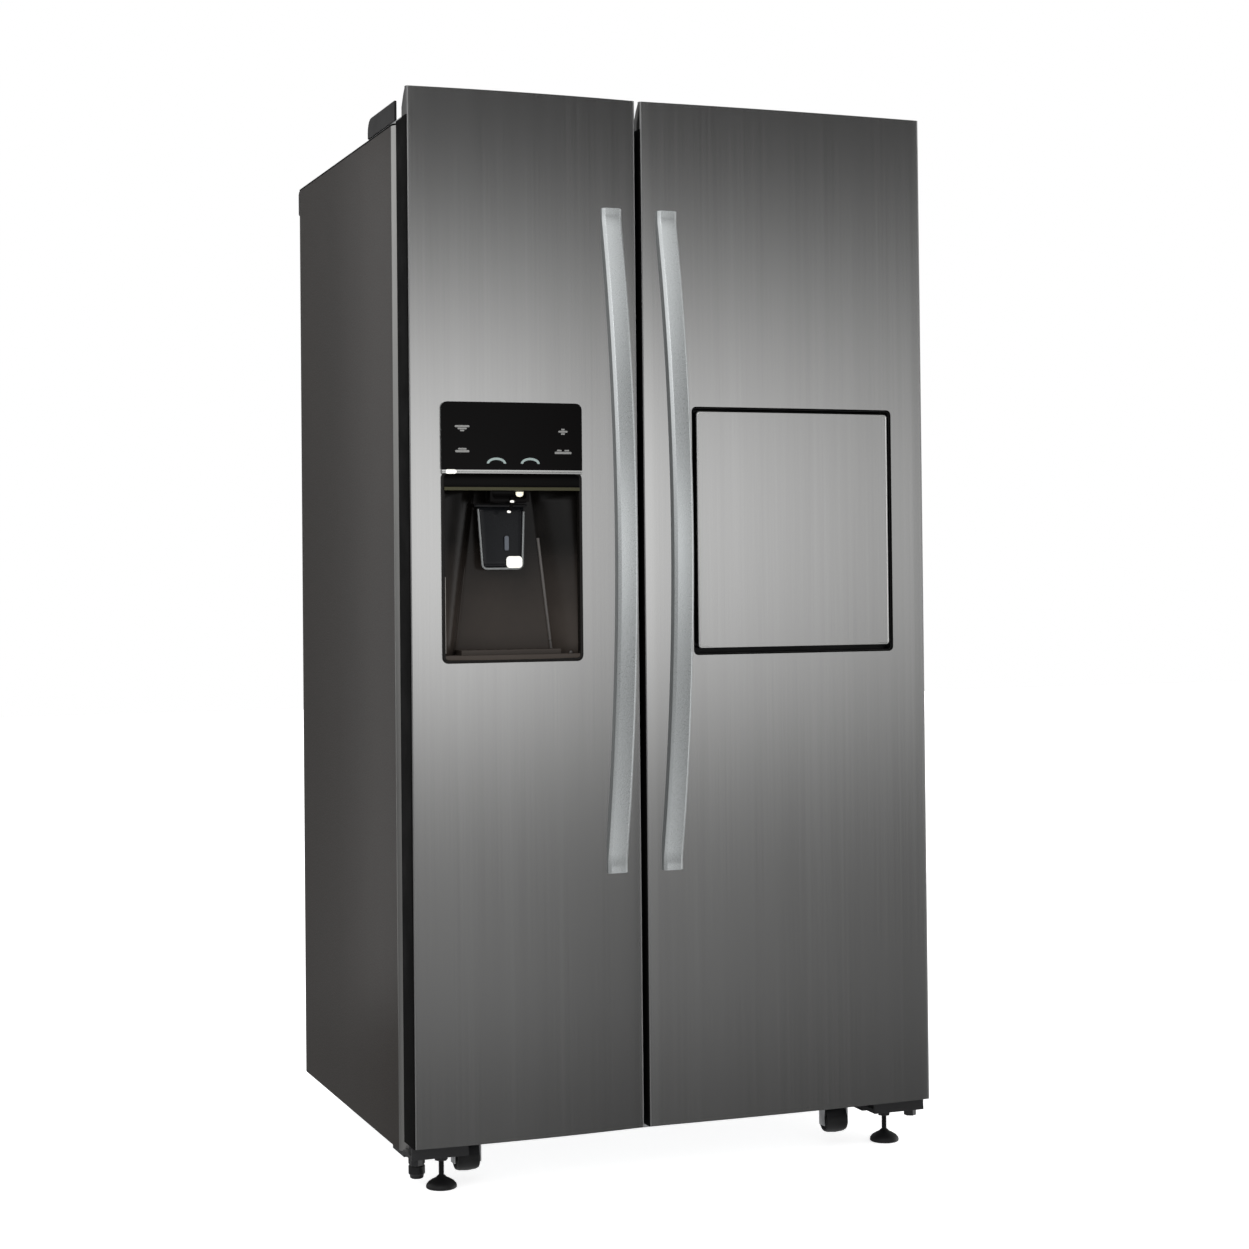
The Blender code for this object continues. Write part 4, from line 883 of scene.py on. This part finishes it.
def paddle():
    """A smoked lever which a glass pushes, with a thick edge round its lower end in bright metal, a painted
    highlight.
    """
    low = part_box("dispenser_paddle")[0]
    x = centre_of("dispenser_paddle")[0] - 0.0055
    half_low, half_high = 0.034, 0.0385
    foot, head = low.z - 0.002, 1.098
    rows = []
    for i in range(11):
        share = i / 10
        half = half_low + (half_high - half_low) * share
        z = foot + (head - foot) * share
        depth = 0.031 + 0.0065 * share
        rows.append([(x + half * u / 4, at(depth + 0.0012 * (1 - (u / 4) ** 2)), z) for u in range(-4, 5)])
    plate = piece("paddle_plate", sheet_grid(rows), "paddle", "dispenser_paddle",
                  stands_for=("dispenser_paddle",), angle=50)
    thicken(plate, 0.0022)
    # The thick edge round the lower end, in bright metal: a painted highlight
    bend = 0.008
    right = arc((x + half_low - bend, foot + bend), bend, 0, -90, 6)
    left = [(2 * x - u, v) for u, v in right[::-1]]
    edge = [(x + half_high, head - 0.01)] + right + left + [(x - half_high, head - 0.006)]
    points = [(u, at(0.0296 + 0.0065 * (v - foot) / (head - foot)), v) for u, v in edge]
    piece("paddle_edge", tube(points, 0.002), "paddle_edge", "dispenser_paddle")
    pin = [(0, -0.0438), (0.0022, -0.0438), (0.0026, -0.043)]
    pin += [(radius, -along) for radius, along in pin[::-1]]
    piece("paddle_pin", lathe(pin, (x, at(0.038), 1.098), "X", 16), "black_plastic", "dispenser_paddle")
    # A glowing pad at the plate's lower right: a painted highlight
    xs, zs = (x + 0.006, x + half_low - 0.001), (foot + 0.001, foot + 0.02)
    pad = slab(xs, zs, 0.006, span_at(0.0262, 0.03), "Y", 6)
    piece("paddle_pad", pad, "glint", "dispenser_paddle", 0.0018, 4)
    # A bluish rib above the pad: a painted reflection
    xs, zs = (x + 0.004, x + 0.0115), (foot + 0.029, foot + 0.053)
    rib = slab(xs, zs, 0.003, span_at(0.03, 0.0322), "Y", 4)
    piece("paddle_rib", rib, "paddle_rib", "dispenser_paddle", 0.0009, 3)


def collar(name, node, door):
    """A black lip behind the edge of a cut-out in a bowed door sheet, which hides the foam."""
    low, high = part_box(node)
    section = ((-0.004, 0.0014), (0.0000, 0.0014), (0.0000, 0.0002), (0.0016, 0.0002), (0.0016, 0.007),
               (-0.004, 0.007))
    shape = bowed_rim(door, (low.x, high.x), (low.z, high.z), 0.008, section)
    piece(name, shape, "edge_black", door, angle=60)


def home_bar():
    """The flap's steel front with a soft edge in lighter steel, a painted highlight, its frame, seal and
    insulated back.
    """
    low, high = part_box("home_bar_door")
    shape = crown(cad_shape("home_bar_door"), "fridge_door", FLAP_LIFT)
    panel = piece("home_bar_door_sheet", shape, "door_steel", "home_bar_flap", stands_for=("home_bar_door",),
                  angle=50)
    repaint(panel, ("edge_black",), lambda face: face.center.y > at(0.0045))
    # The flap's soft edge, in lighter steel: a painted highlight
    edge = ((-0.0006, 0.002), (-0.0006, 0.0004), (0.0002, -0.0008), (0.0014, -0.0018), (0.0026, -0.0021),
            (0.003, -0.001), (0.003, 0.002))
    shape = bowed_rim("fridge_door", (low.x, high.x), (low.z, high.z), 0.005, edge)
    piece("home_bar_door_edge", shape, "bright_edge", "home_bar_flap", angle=60)
    refined("home_bar_frame", 0.0006)
    refined("home_bar_inner_panel", 0.005, segments=4)
    collar("home_bar_collar", "home_bar_frame", "fridge_door")
    seal = [(0.0, 0.0203), (0.0006, 0.0222), (0.006, 0.0222), (0.0066, 0.0203)]
    shape = rim((0.044, 0.376), (0.877, 1.245), 0.008, seal)
    piece("home_bar_seal", shape, "gasket_rubber", "home_bar_flap")
    latch = slab(span_at(0.0203, 0.029), (1.2395, 1.2445), 0.0015, (0.19, 0.23), "X", 3)
    piece("home_bar_latch", latch, "grey_plastic", "home_bar_flap", 0.0005)


# Cabinet

def side_sheet(name, side):
    """The folded side: a round front corner in bright metal, a painted highlight, a top edge in black,
    painted shade, and flanges front and rear.
    """
    low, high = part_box(name)
    edge = max(abs(low.x), abs(high.x))
    sheet, radius = 0.0012, 0.016
    front, back = low.y, high.y
    centre = (edge - radius, front + radius)
    outline = [(edge - 0.025, front)] + arc(centre, radius, -90, 0, 14)
    outline += [(edge, back - 0.002), (edge - 0.0006, back - 0.0006), (edge - 0.002, back)]
    outline += [(edge - 0.012, back), (edge - 0.012, back - sheet), (edge - sheet, back - sheet)]
    outline += arc(centre, radius - sheet, 0, -90, 14) + [(edge - 0.025, front + sheet)]
    outline = [(side * x, y) for x, y in outline]
    shape = prism(outline, (low.z, high.z), "Z")
    # The top 3 mm of the sheet are black: painted shade along its top edge
    dark = high.z - 0.003
    slice_mesh(shape, (0, 0, dark), (0, 0, 1))
    panel = piece(f"{name}_sheet", shape, "cabinet_paint", "cabinet", stands_for=(name,), angle=40)

    # The corner's faces take bright metal, a painted highlight
    def choose(face):
        corner = face.center.y < front + radius and abs(face.center.x) > edge - radius
        if face.center.z > dark:
            return 2
        return corner and abs(face.normal.z) < 0.5

    repaint(panel, ("corner_metal", "edge_black"), choose)


def back_sheets():
    """The ribbed back panel, the slotted cover with its grommet, and their screws."""
    low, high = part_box("back_panel")
    sheet = high.y - low.y
    beads = 6
    points = [(low.x, low.y)]
    for i in range(beads):
        x = low.x + (high.x - low.x) * (i + 0.5) / beads
        raised = low.y + 0.0025
        points += [(x - 0.022, low.y), (x - 0.016, raised), (x + 0.016, raised), (x + 0.022, low.y)]
    points.append((high.x, low.y))
    outline = points + [(x, y + sheet) for x, y in points[::-1]]
    piece("back_panel_sheet", prism(outline, (low.z, high.z), "Z"), "galvanised", "cabinet", 0.0003,
          stands_for=("back_panel",))
    places = [(side * 0.446, high.y, low.z + 0.03 + i * 0.225) for side in (-1, 1) for i in range(7)]
    places += [(x, high.y, high.z - 0.052) for x in (-0.3, -0.1, 0.1, 0.3)]
    screws("back_panel_screws", places, "Y")
    refined("machine_room_cover", 0.0003)
    low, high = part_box("machine_room_cover")
    places = [(x, high.y, z) for x in (-0.44, -0.15, 0.15, 0.44) for z in (0.083, 0.291)]
    screws("cover_screws", places, "Y")
    ring = [(0.0098, -0.003), (0.0098, 0.003), (0.0078, 0.0038), (0.0064, 0.003), (0.0064, -0.003)]
    grommet = lathe(ring, (0.405, high.y - 0.0006, 0.19), "Y", 28, ring=True)
    piece("outlet_grommet", grommet, "gasket_rubber", "cabinet")
    joint = slab((-0.453, 0.453), (0.296, 0.306), 0.0008, span_at(0.7405, 0.7421), "Y", 2)
    piece("cover_joint", joint, "galvanised", "cabinet")


def rails():
    """Painted strips across the cabinet's front, between and around the compartments."""
    depths = span_at(0.0751, 0.0763)
    for name, xs, zs in (
        ("centre_rail", (-0.0903, -0.0359), (0.1495, 1.6605)),
        ("top_rail", (-0.4296, 0.4296), (1.661, 1.7146)),
        ("bottom_rail", (-0.4296, 0.4296), (0.1, 0.149)),
        ("left_rail", (-0.4296, -0.4235), (0.1495, 1.6605)),
        ("right_rail", (0.4235, 0.4296), (0.1495, 1.6605)),
    ):
        strip = slab(xs, zs, 0.0008, depths, "Y", 2)
        piece(name, strip, "cabinet_paint", "cabinet", 0.0003)


def hardware():
    """Hinges, their covers, the feet, the rollers and the water coupler."""
    for side, sign in (("left", -1), ("right", 1)):
        refined(f"hinge_cover_{side}", 0.0012, segments=3)
        refined(f"top_hinge_{side}", 0.0004)
        refined(f"bottom_hinge_{side}", 0.0005)
        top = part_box(f"top_hinge_{side}")[1].z
        places = [(sign * 0.392, at(d), top) for d in (0.1, 0.15, 0.2)]
        screws(f"top_hinge_{side}_screws", places, "Z", 0.005)
        foot_parts(f"foot_{side}")
        for end in ("front", "rear"):
            roller(f"{end}_roller_{side}")
    low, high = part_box("water_coupler")
    x, y, _ = centre_of("water_coupler")
    radius = (high.x - low.x) / 2
    profile = [
        (0, low.z), (radius * 0.66, low.z), (radius * 0.8, low.z + 0.0012), (radius * 0.86, low.z + 0.006),
        (radius, low.z + 0.008), (radius, low.z + 0.02), (radius * 0.9, low.z + 0.0212),
        (radius * 0.9, low.z + 0.0232), (radius, low.z + 0.0244), (radius, high.z - 0.001),
        (radius * 0.9, high.z), (0, high.z),
    ]
    piece("water_coupler_body", lathe(profile, (x, y, 0), "Z", 32), "black_plastic", "cabinet",
          stands_for=("water_coupler",))


def foot_parts(name):
    """A domed pad on a stem with a rolled thread, and the lock nut under the hinge bracket."""
    low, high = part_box(name)
    x, y, _ = centre_of(name)
    radius = (high.x - low.x) / 2
    pad = [
        (0, low.z), (radius - 0.0016, low.z), (radius - 0.0003, low.z + 0.001), (radius, low.z + 0.0028),
        (radius - 0.0008, low.z + 0.0062), (radius * 0.83, low.z + 0.0102), (radius * 0.6, low.z + 0.0138),
        (radius * 0.36, low.z + 0.0168), (radius * 0.24, low.z + 0.02), (0, low.z + 0.0204),
    ]
    piece(f"{name}_pad", lathe(pad, (x, y, 0), "Z", 48), "black_plastic", body_of(name), stands_for=(name,))
    stem = [(0, low.z + 0.019)]
    pitch, turns = 0.0015, 40
    for i in range(turns):
        z = low.z + 0.0195 + i * pitch
        stem += [(0.0038, z), (0.0045, z + pitch / 2)]
    stem += [(0.0038, low.z + 0.0195 + turns * pitch), (0, high.z)]
    piece(f"{name}_stem", lathe(stem, (x, y, 0), "Z", 24), "black_steel", body_of(name), angle=60)
    nut = [(0.0058, 0.044), (0.0098, 0.044), (0.011, 0.0446), (0.011, 0.05), (0.0098, 0.0506),
           (0.0058, 0.0506)]
    piece(f"{name}_lock_nut", lathe(nut, (x, y, 0), "Z", 6, ring=True), "black_steel", "cabinet", 0.0003)


def roller(name):
    """A wheel with a crowned tread, dished sides and a hub."""
    low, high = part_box(name)
    half, radius = (high.x - low.x) / 2, (high.z - low.z) / 2
    profile = [(0.0037, -half), (0.0085, -half), (0.01, -half + 0.003), (radius - 0.008, -half + 0.003)]
    profile += [(radius - 0.0055, -half), (radius - 0.003, -half + 0.0006)]
    profile += [(radius - 0.0012, -half + 0.005), (radius, 0)]
    profile += [(r, -along) for r, along in profile[-2::-1]]
    wheel = lathe(profile, centre_of(name), "X", 48, ring=True)
    piece(f"{name}_wheel", wheel, "black_plastic", body_of(name), stands_for=(name,), angle=35)


# Inside

def glass_shelf(name, xs, depths, z, stands_for=()):
    """A toughened glass plate with a round aluminium nose."""
    plate = slab(xs, span_at(depths[0] + 0.0045, depths[1]), 0.006, (z, z + 0.004), "Z")
    piece(f"{name}_glass", plate, "shelf_glass", "cabinet", 0.0006, 2, stands_for)
    nose = [(at(depths[0] + 0.01), z - 0.002), (at(depths[0] + 0.01), z + 0.006)]
    nose += [(at(d), v) for d, v in arc((depths[0] + 0.0042, z + 0.002), 0.004, 90, 270, 8)]
    piece(f"{name}_nose", prism(nose, xs, "X"), "aluminium", "cabinet", 0.0003)
    for side, x in (("left", xs[0]), ("right", xs[1] - 0.006)):
        ys, zs = span_at(depths[0] + 0.02, depths[1] - 0.01), (z - 0.012, z - 0.0006)
        ledge = slab(ys, zs, 0.003, (x, x + 0.006), "X", 4)
        piece(f"{name}_ledge_{side}", ledge, "white_liner", "cabinet", 0.0008)


def louvres(name, xs, zs, count, front):
    """Air slots: a dark well behind a ladder of slats."""
    well = slab(xs, zs, 0.004, (front - 0.0002, front + 0.003), "Y")
    piece(f"{name}_well", well, "grey_plastic", "cabinet", 0.0003)
    slats = []
    rise = (zs[1] - zs[0]) / count
    for i in range(count):
        z = zs[0] + rise * (i + 0.5)
        outline = [(front - 0.003, z - rise * 0.3), (front - 0.0002, z - rise * 0.1),
                   (front - 0.0002, z + rise * 0.25), (front - 0.0014, z + rise * 0.2)]
        slats.append(prism(outline, grown(xs, -0.003), "X"))
    piece(f"{name}_slats", joined(slats), "white_liner", "cabinet", 0.0003)


def drawer(name, stands_for):
    """A clear tub with round corners, a taller front and a pull under its top edge."""
    low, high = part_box(name)
    xs = (low.x, high.x)
    near, far = low.y - FACE, high.y - FACE
    body = body_of(name)
    top = low.z + 0.177
    piece(f"{name}_tub", cup(xs, (near + 0.004, far), (low.z, top), 0.012, 0.0025, 0.003), "clear_plastic",
          body, stands_for=stands_for)
    front = slab(xs, (low.z, high.z), 0.008, (low.y, low.y + 0.004), "Y")
    piece(f"{name}_front", front, "clear_plastic", body, 0.0008, 3)
    middle = centre_of(name)[0]
    root, edge = low.y - 0.0002, low.y - 0.0065
    grip = [(root, high.z - 0.034), (edge, high.z - 0.03), (edge, high.z - 0.022), (root, high.z - 0.018)]
    piece(f"{name}_pull", prism(grip, (middle - 0.07, middle + 0.07), "X"), "aluminium", body, 0.0012, 3)


def inside():
    """Shelves, drawers, liners, air duct, lights, ice maker and cold circuit."""
    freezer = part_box("freezer_shelf")
    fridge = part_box("fridge_shelf")
    freezer_x, fridge_x = (freezer[0].x, freezer[1].x), (fridge[0].x, fridge[1].x)
    glass_shelf("freezer_shelf", freezer_x, (0.19, 0.597), freezer[0].z + 0.005, ("freezer_shelf",))
    glass_shelf("fridge_shelf", fridge_x, (0.186, 0.68), fridge[0].z + 0.01, ("fridge_shelf",))
    for level, z in FREEZER_SHELVES.items():
        glass_shelf(f"freezer_{level}_shelf", freezer_x, (0.19, 0.597), z)
    for level, z in FRIDGE_SHELVES.items():
        glass_shelf(f"fridge_{level}_shelf", fridge_x, (0.186, 0.68), z)
    for name, xs, far in (("freezer_drawer_lid", freezer_x, 0.445), ("crisper_lid", fridge_x, 0.448)):
        glass_shelf(name, xs, (0.2, far), DRAWER_LIDS)
    drawer("freezer_drawer", ("freezer_drawer",))
    drawer("crisper_drawer", ("crisper_drawer",))
    refined("freezer_liner", 0.001)
    refined("fridge_liner", 0.001)
    refined("evaporator_cover", 0.0006)
    duct = slab((0.09, 0.285), (0.42, 1.62), 0.012, span_at(0.672, 0.6882), "Y")
    piece("fridge_air_duct", duct, "white_liner", "cabinet", 0.003, 3)
    for i, z in enumerate(FRIDGE_VENTS):
        louvres(f"fridge_vent_{i + 1}", (0.12, 0.255), (z, z + 0.036), 4, at(0.6718))
    lamp_glass = slab((0.07, 0.3), span_at(0.24, 0.32), 0.01, (1.65, 1.6582), "Z")
    piece("fridge_light", lamp_glass, "led", "cabinet", 0.002, 3)
    lamp_glass = slab((-0.31, -0.18), span_at(0.2, 0.26), 0.01, (1.65, 1.6582), "Z")
    piece("freezer_light", lamp_glass, "led", "cabinet", 0.002, 3)
    ice_maker()
    cold_circuit()


def ice_maker():
    """The freezing tray over the bucket, its stop wire, the bucket and the auger."""
    low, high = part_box("ice_bucket")
    tub = cup((low.x, high.x), (low.y - FACE, high.y - FACE), (low.z, high.z), 0.012, 0.003, 0.0)
    piece("ice_bucket_tub", tub, "clear_plastic", "cabinet", stands_for=("ice_bucket",))
    tray = slab((low.x + 0.02, high.x - 0.02), (1.56, 1.635), 0.014, span_at(0.3, 0.56), "Y")
    piece("ice_maker", tray, "white_liner", "cabinet", 0.003, 3)
    cover = slab((low.x + 0.03, high.x - 0.03), (1.566, 1.629), 0.01, span_at(0.287, 0.2996), "Y")
    piece("ice_maker_cover", cover, "grey_plastic", "cabinet", 0.002, 3)
    x = high.x - 0.012
    wire = [(x, at(0.33), 1.6), (x, at(0.33), 1.56), (x, at(0.34), 1.545), (x, at(0.37), 1.542),
            (x, at(0.48), 1.542), (x, at(0.51), 1.545), (x, at(0.52), 1.56), (x, at(0.52), 1.6)]
    piece("ice_maker_stop_wire", tube(wire, 0.0018), "galvanised", "cabinet")
    low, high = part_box("ice_auger")
    x, _, z = centre_of("ice_auger")
    radius = (high.x - low.x) / 2 - 0.004
    turns, start, length, steps = 4, 0.226, 0.33, 28
    points = [(x, at(0.214), z), (x + radius * 0.5, at(0.219), z)]
    for i in range(turns * steps + 1):
        angle = 2 * math.pi * i / steps
        points.append((x + radius * math.cos(angle), at(start + length * i / (turns * steps)),
                       z + radius * math.sin(angle)))
    points += [(x + radius * 0.5, at(0.561), z), (x, at(0.566), z), (x, at(0.594), z)]
    wire = tube(points, 0.004)
    piece("ice_auger_wire", wire, "aluminium", "ice_auger", stands_for=("ice_auger",), angle=60)


def serpentine(xs, zs, depth, passes):
    """A pipe's route to and fro in x while it climbs, with half-round bends."""
    rise = (zs[1] - zs[0]) / (passes - 1)
    points = []
    for i in range(passes):
        z = zs[0] + i * rise
        start, end = xs if i % 2 == 0 else xs[::-1]
        sign = 1 if end > start else -1
        points += [(start + (end - start) * k / 8, at(depth), z) for k in range(9)]
        if i < passes - 1:
            for k in range(1, 8):
                angle = math.pi * k / 8 - math.pi / 2
                x = end + sign * rise / 2 * math.cos(angle)
                points.append((x, at(depth), z + rise / 2 + rise / 2 * math.sin(angle)))
    return points


def cold_circuit():
    """The compressor, coils and fans, with smooth pipes and finned coils."""
    refined("compressor", 0.0015, segments=3, angle=50)
    refined("condenser_fan_motor", 0.001)
    refined("condenser_fan", 0.0005)
    refined("evaporator_fan", 0.0005)
    pipe = tube(serpentine((-0.385, -0.135), (0.1, 0.24), 0.64, 7), 0.0045, 12)
    piece("condenser_pipe", pipe, "black_steel", "cabinet", stands_for=("condenser_coil",), angle=60)
    pipe = tube(serpentine((-0.345, -0.15), (0.62, 1.2), 0.645, 11), 0.0055, 12)
    piece("evaporator_pipe", pipe, "aluminium", "cabinet", stands_for=("evaporator_coil",), angle=60)
    fins = [block((x, x + 0.0004), span_at(0.628, 0.662), (0.605, 1.215))
            for x in [-0.335 + 0.0075 * i for i in range(24)]]
    piece("evaporator_fins", joined(fins), "aluminium", "cabinet")


def cabinet():
    """The outer body and what is fixed to it."""
    side_sheet("side_panel_left", -1)
    side_sheet("side_panel_right", 1)
    refined("top_panel", 0.0004)
    refined("rear_top_trim", 0.0016, segments=3)
    refined("base_pan", 0.0003)
    back_sheets()
    rails()
    hardware()


# Studio

def stage_floor():
    """A plain pale floor that glows a little, so that no edge of it shows."""
    bm = bmesh.new()
    bmesh.ops.create_grid(bm, x_segments=1, y_segments=1, size=14.0)
    mesh = bpy.data.meshes.new("floor")
    bm.to_mesh(mesh)
    bm.free()
    floor = linked("floor", mesh)
    paint = Paint("pale_floor", (0.9, 0.9, 0.9), 0.7, Emission_Strength=0.72)
    paint.shader.inputs["Emission Color"].default_value = WHITE
    paint.mottle(paint.spread(paint.noise(3.0)), 0.995, 1.005)
    mesh.materials.append(paint.material)
    floor.visible_glossy = False


# How bright reflections see the studio at each elevation in degrees, towards the front, left and back
FRONT_LIGHT = (
    (-60, 0.75), (-34, 0.6), (-26, 0.42), (-20, 0.3), (-15.5, 0.12), (-13.5, 0.1), (-12, 0.165),
    (-10.5, 0.3), (-9, 0.315), (-7.5, 0.285), (-6, 0.325), (-4.5, 0.52), (-3.5, 0.76), (-2.2, 1.08),
    (-1, 1.28), (1, 1.34), (2.5, 1.39), (5, 1.06), (8, 0.42), (9.5, 0.2), (11, 0.035), (14, 0.0),
    (16.5, 0.15), (21, 0.75), (32, 0.9), (50, 0.8),
)
LEFT_LIGHT = (
    (-60, 0.75), (-30, 0.65), (-18, 0.4), (-14, 0.12), (-2, 0.14), (3, 0.38), (8, 0.95), (20, 1.1),
    (40, 0.7),
)
BACK_LIGHT = (
    (-60, 0.7), (-30, 0.55), (-16, 0.25), (-8, 0.08), (0, 0.05), (12, 0.1), (30, 0.5), (60, 0.8),
)
BRIGHTEST = 1.5
RIGHT_LIGHT = 1.15


def sky():
    """White to the eye and even for matt light; reflections see a lit band in front of the doors."""
    world = bpy.data.worlds.new("studio")
    bpy.context.scene.world = world
    world.use_nodes = True
    tree = world.node_tree
    tree.nodes.clear()

    def node(kind, inputs=None, **settings):
        return add_node(tree, kind, inputs, **settings)

    def by_elevation(stops):
        low, high = stops[0][0], stops[-1][0]
        share = node("ShaderNodeMapRange", {
            "Value": up, "From Min": math.radians(low), "From Max": math.radians(high)}).outputs[0]
        band = node("ShaderNodeValToRGB", {"Fac": share})
        ramp = band.color_ramp
        ramp.elements.remove(ramp.elements[0])
        for i, (angle, level) in enumerate(stops):
            place = (angle - low) / (high - low)
            stop = ramp.elements[0] if i == 0 else ramp.elements.new(place)
            stop.position = place
            stop.color = (level / BRIGHTEST,) * 3 + (1.0,)
        return band.outputs["Color"]

    def ease(value, start, end, low=0.0, high=1.0):
        return node("ShaderNodeMapRange", {
            "Value": value, "From Min": start, "From Max": end, "To Min": low, "To Max": high},
            interpolation_type="SMOOTHSTEP").outputs[0]

    def mix(factor, first, second):
        return node("ShaderNodeMix", {0: factor, 6: first, 7: second}, data_type="RGBA").outputs[2]

    direction = node("ShaderNodeTexCoord").outputs["Generated"]
    split = node("ShaderNodeSeparateXYZ", {0: direction})
    up = node("ShaderNodeMath", {0: split.outputs["Z"]}, operation="ARCSINE").outputs[0]
    rising = ease(split.outputs["X"], 0.08, 0.26, 0.84, 1.0)
    falling = ease(split.outputs["X"], 0.16, 0.6, 1.26, 0.42)
    across = node("ShaderNodeMath", {0: rising, 1: falling}, operation="MULTIPLY").outputs[0]
    front = node("ShaderNodeVectorMath", {0: by_elevation(FRONT_LIGHT), "Scale": across}, operation="SCALE")
    behind = ease(split.outputs["Y"], 0.2, 0.6)
    level = mix(behind, front.outputs[0], by_elevation(BACK_LIGHT))
    leftwards = ease(split.outputs["X"], -0.35, -0.6)
    level = mix(leftwards, level, by_elevation(LEFT_LIGHT))
    rightwards = ease(split.outputs["X"], 0.8, 0.95)
    level = mix(rightwards, level, (RIGHT_LIGHT,) * 3 + (1.0,))
    gloss = node("ShaderNodeBackground", {"Color": level, "Strength": BRIGHTEST})
    even = node("ShaderNodeBackground", {"Color": WHITE, "Strength": 0.95})
    white = node("ShaderNodeBackground", {"Color": WHITE, "Strength": 1.0})
    rays = node("ShaderNodeLightPath")
    seen = node("ShaderNodeMath", {
        0: rays.outputs["Is Camera Ray"], 1: rays.outputs["Is Transmission Ray"]}, operation="MAXIMUM")
    first = node("ShaderNodeMixShader", {
        0: rays.outputs["Is Glossy Ray"], 1: even.outputs[0], 2: gloss.outputs[0]})
    second = node("ShaderNodeMixShader", {0: seen.outputs[0], 1: first.outputs[0], 2: white.outputs[0]})
    node("ShaderNodeOutputWorld", {"Surface": second.outputs[0]})


def lamp(name, place, target, size, power, in_gloss):
    """A soft box that only lights, and that reflections may see."""
    data = bpy.data.lights.new(name, "AREA")
    data.shape = "RECTANGLE"
    data.size, data.size_y = size
    data.energy = power
    obj = linked(name, data)
    obj.location = place
    aim = Vector(target) - Vector(place)
    obj.rotation_euler = aim.to_track_quat("-Z", "Y").to_euler()
    obj.visible_glossy = in_gloss
    obj.visible_camera = False


def camera():
    """The camera, with its place, its turns and its lens from the top of this file."""
    yaw, pitch, roll = (math.radians(a) for a in (CAMERA_YAW, CAMERA_PITCH, CAMERA_ROLL))
    forward = Vector((math.sin(yaw) * math.cos(pitch), math.cos(yaw) * math.cos(pitch), math.sin(pitch)))
    level = Vector((math.cos(yaw), -math.sin(yaw), 0))
    upright = level.cross(forward)
    right = math.cos(roll) * level + math.sin(roll) * upright
    up = math.cos(roll) * upright - math.sin(roll) * level
    turn = Matrix((right, up, -forward)).transposed().to_4x4()
    data = bpy.data.cameras.new("camera")
    data.lens = CAMERA_LENS
    data.shift_y = CAMERA_SHIFT_Y
    data.clip_end = 50
    obj = linked("camera", data)
    obj.matrix_world = Matrix.Translation(CAMERA_PLACE) @ turn
    bpy.context.scene.camera = obj


camera()
stage_floor()
sky()
lamp("soft_key", (-3.0, -3.5, 3.2), (0, 0, 0.9), (2.5, 2.5), 60, False)
lamp("window", (-2.4, -2.8, 2.6), (-0.28, -0.3, 1.05), (1.0, 1.0), 9, True)
lamp("side_strip", (-0.95, 1.25, 1.0), (-0.455, -0.2, 0.95), (0.25, 2.0), 1.5, True)
bpy.context.scene.view_settings.view_transform = "Standard"
finishes()
dress_cad()
doors()
dispenser()
home_bar()
cabinet()
inside()
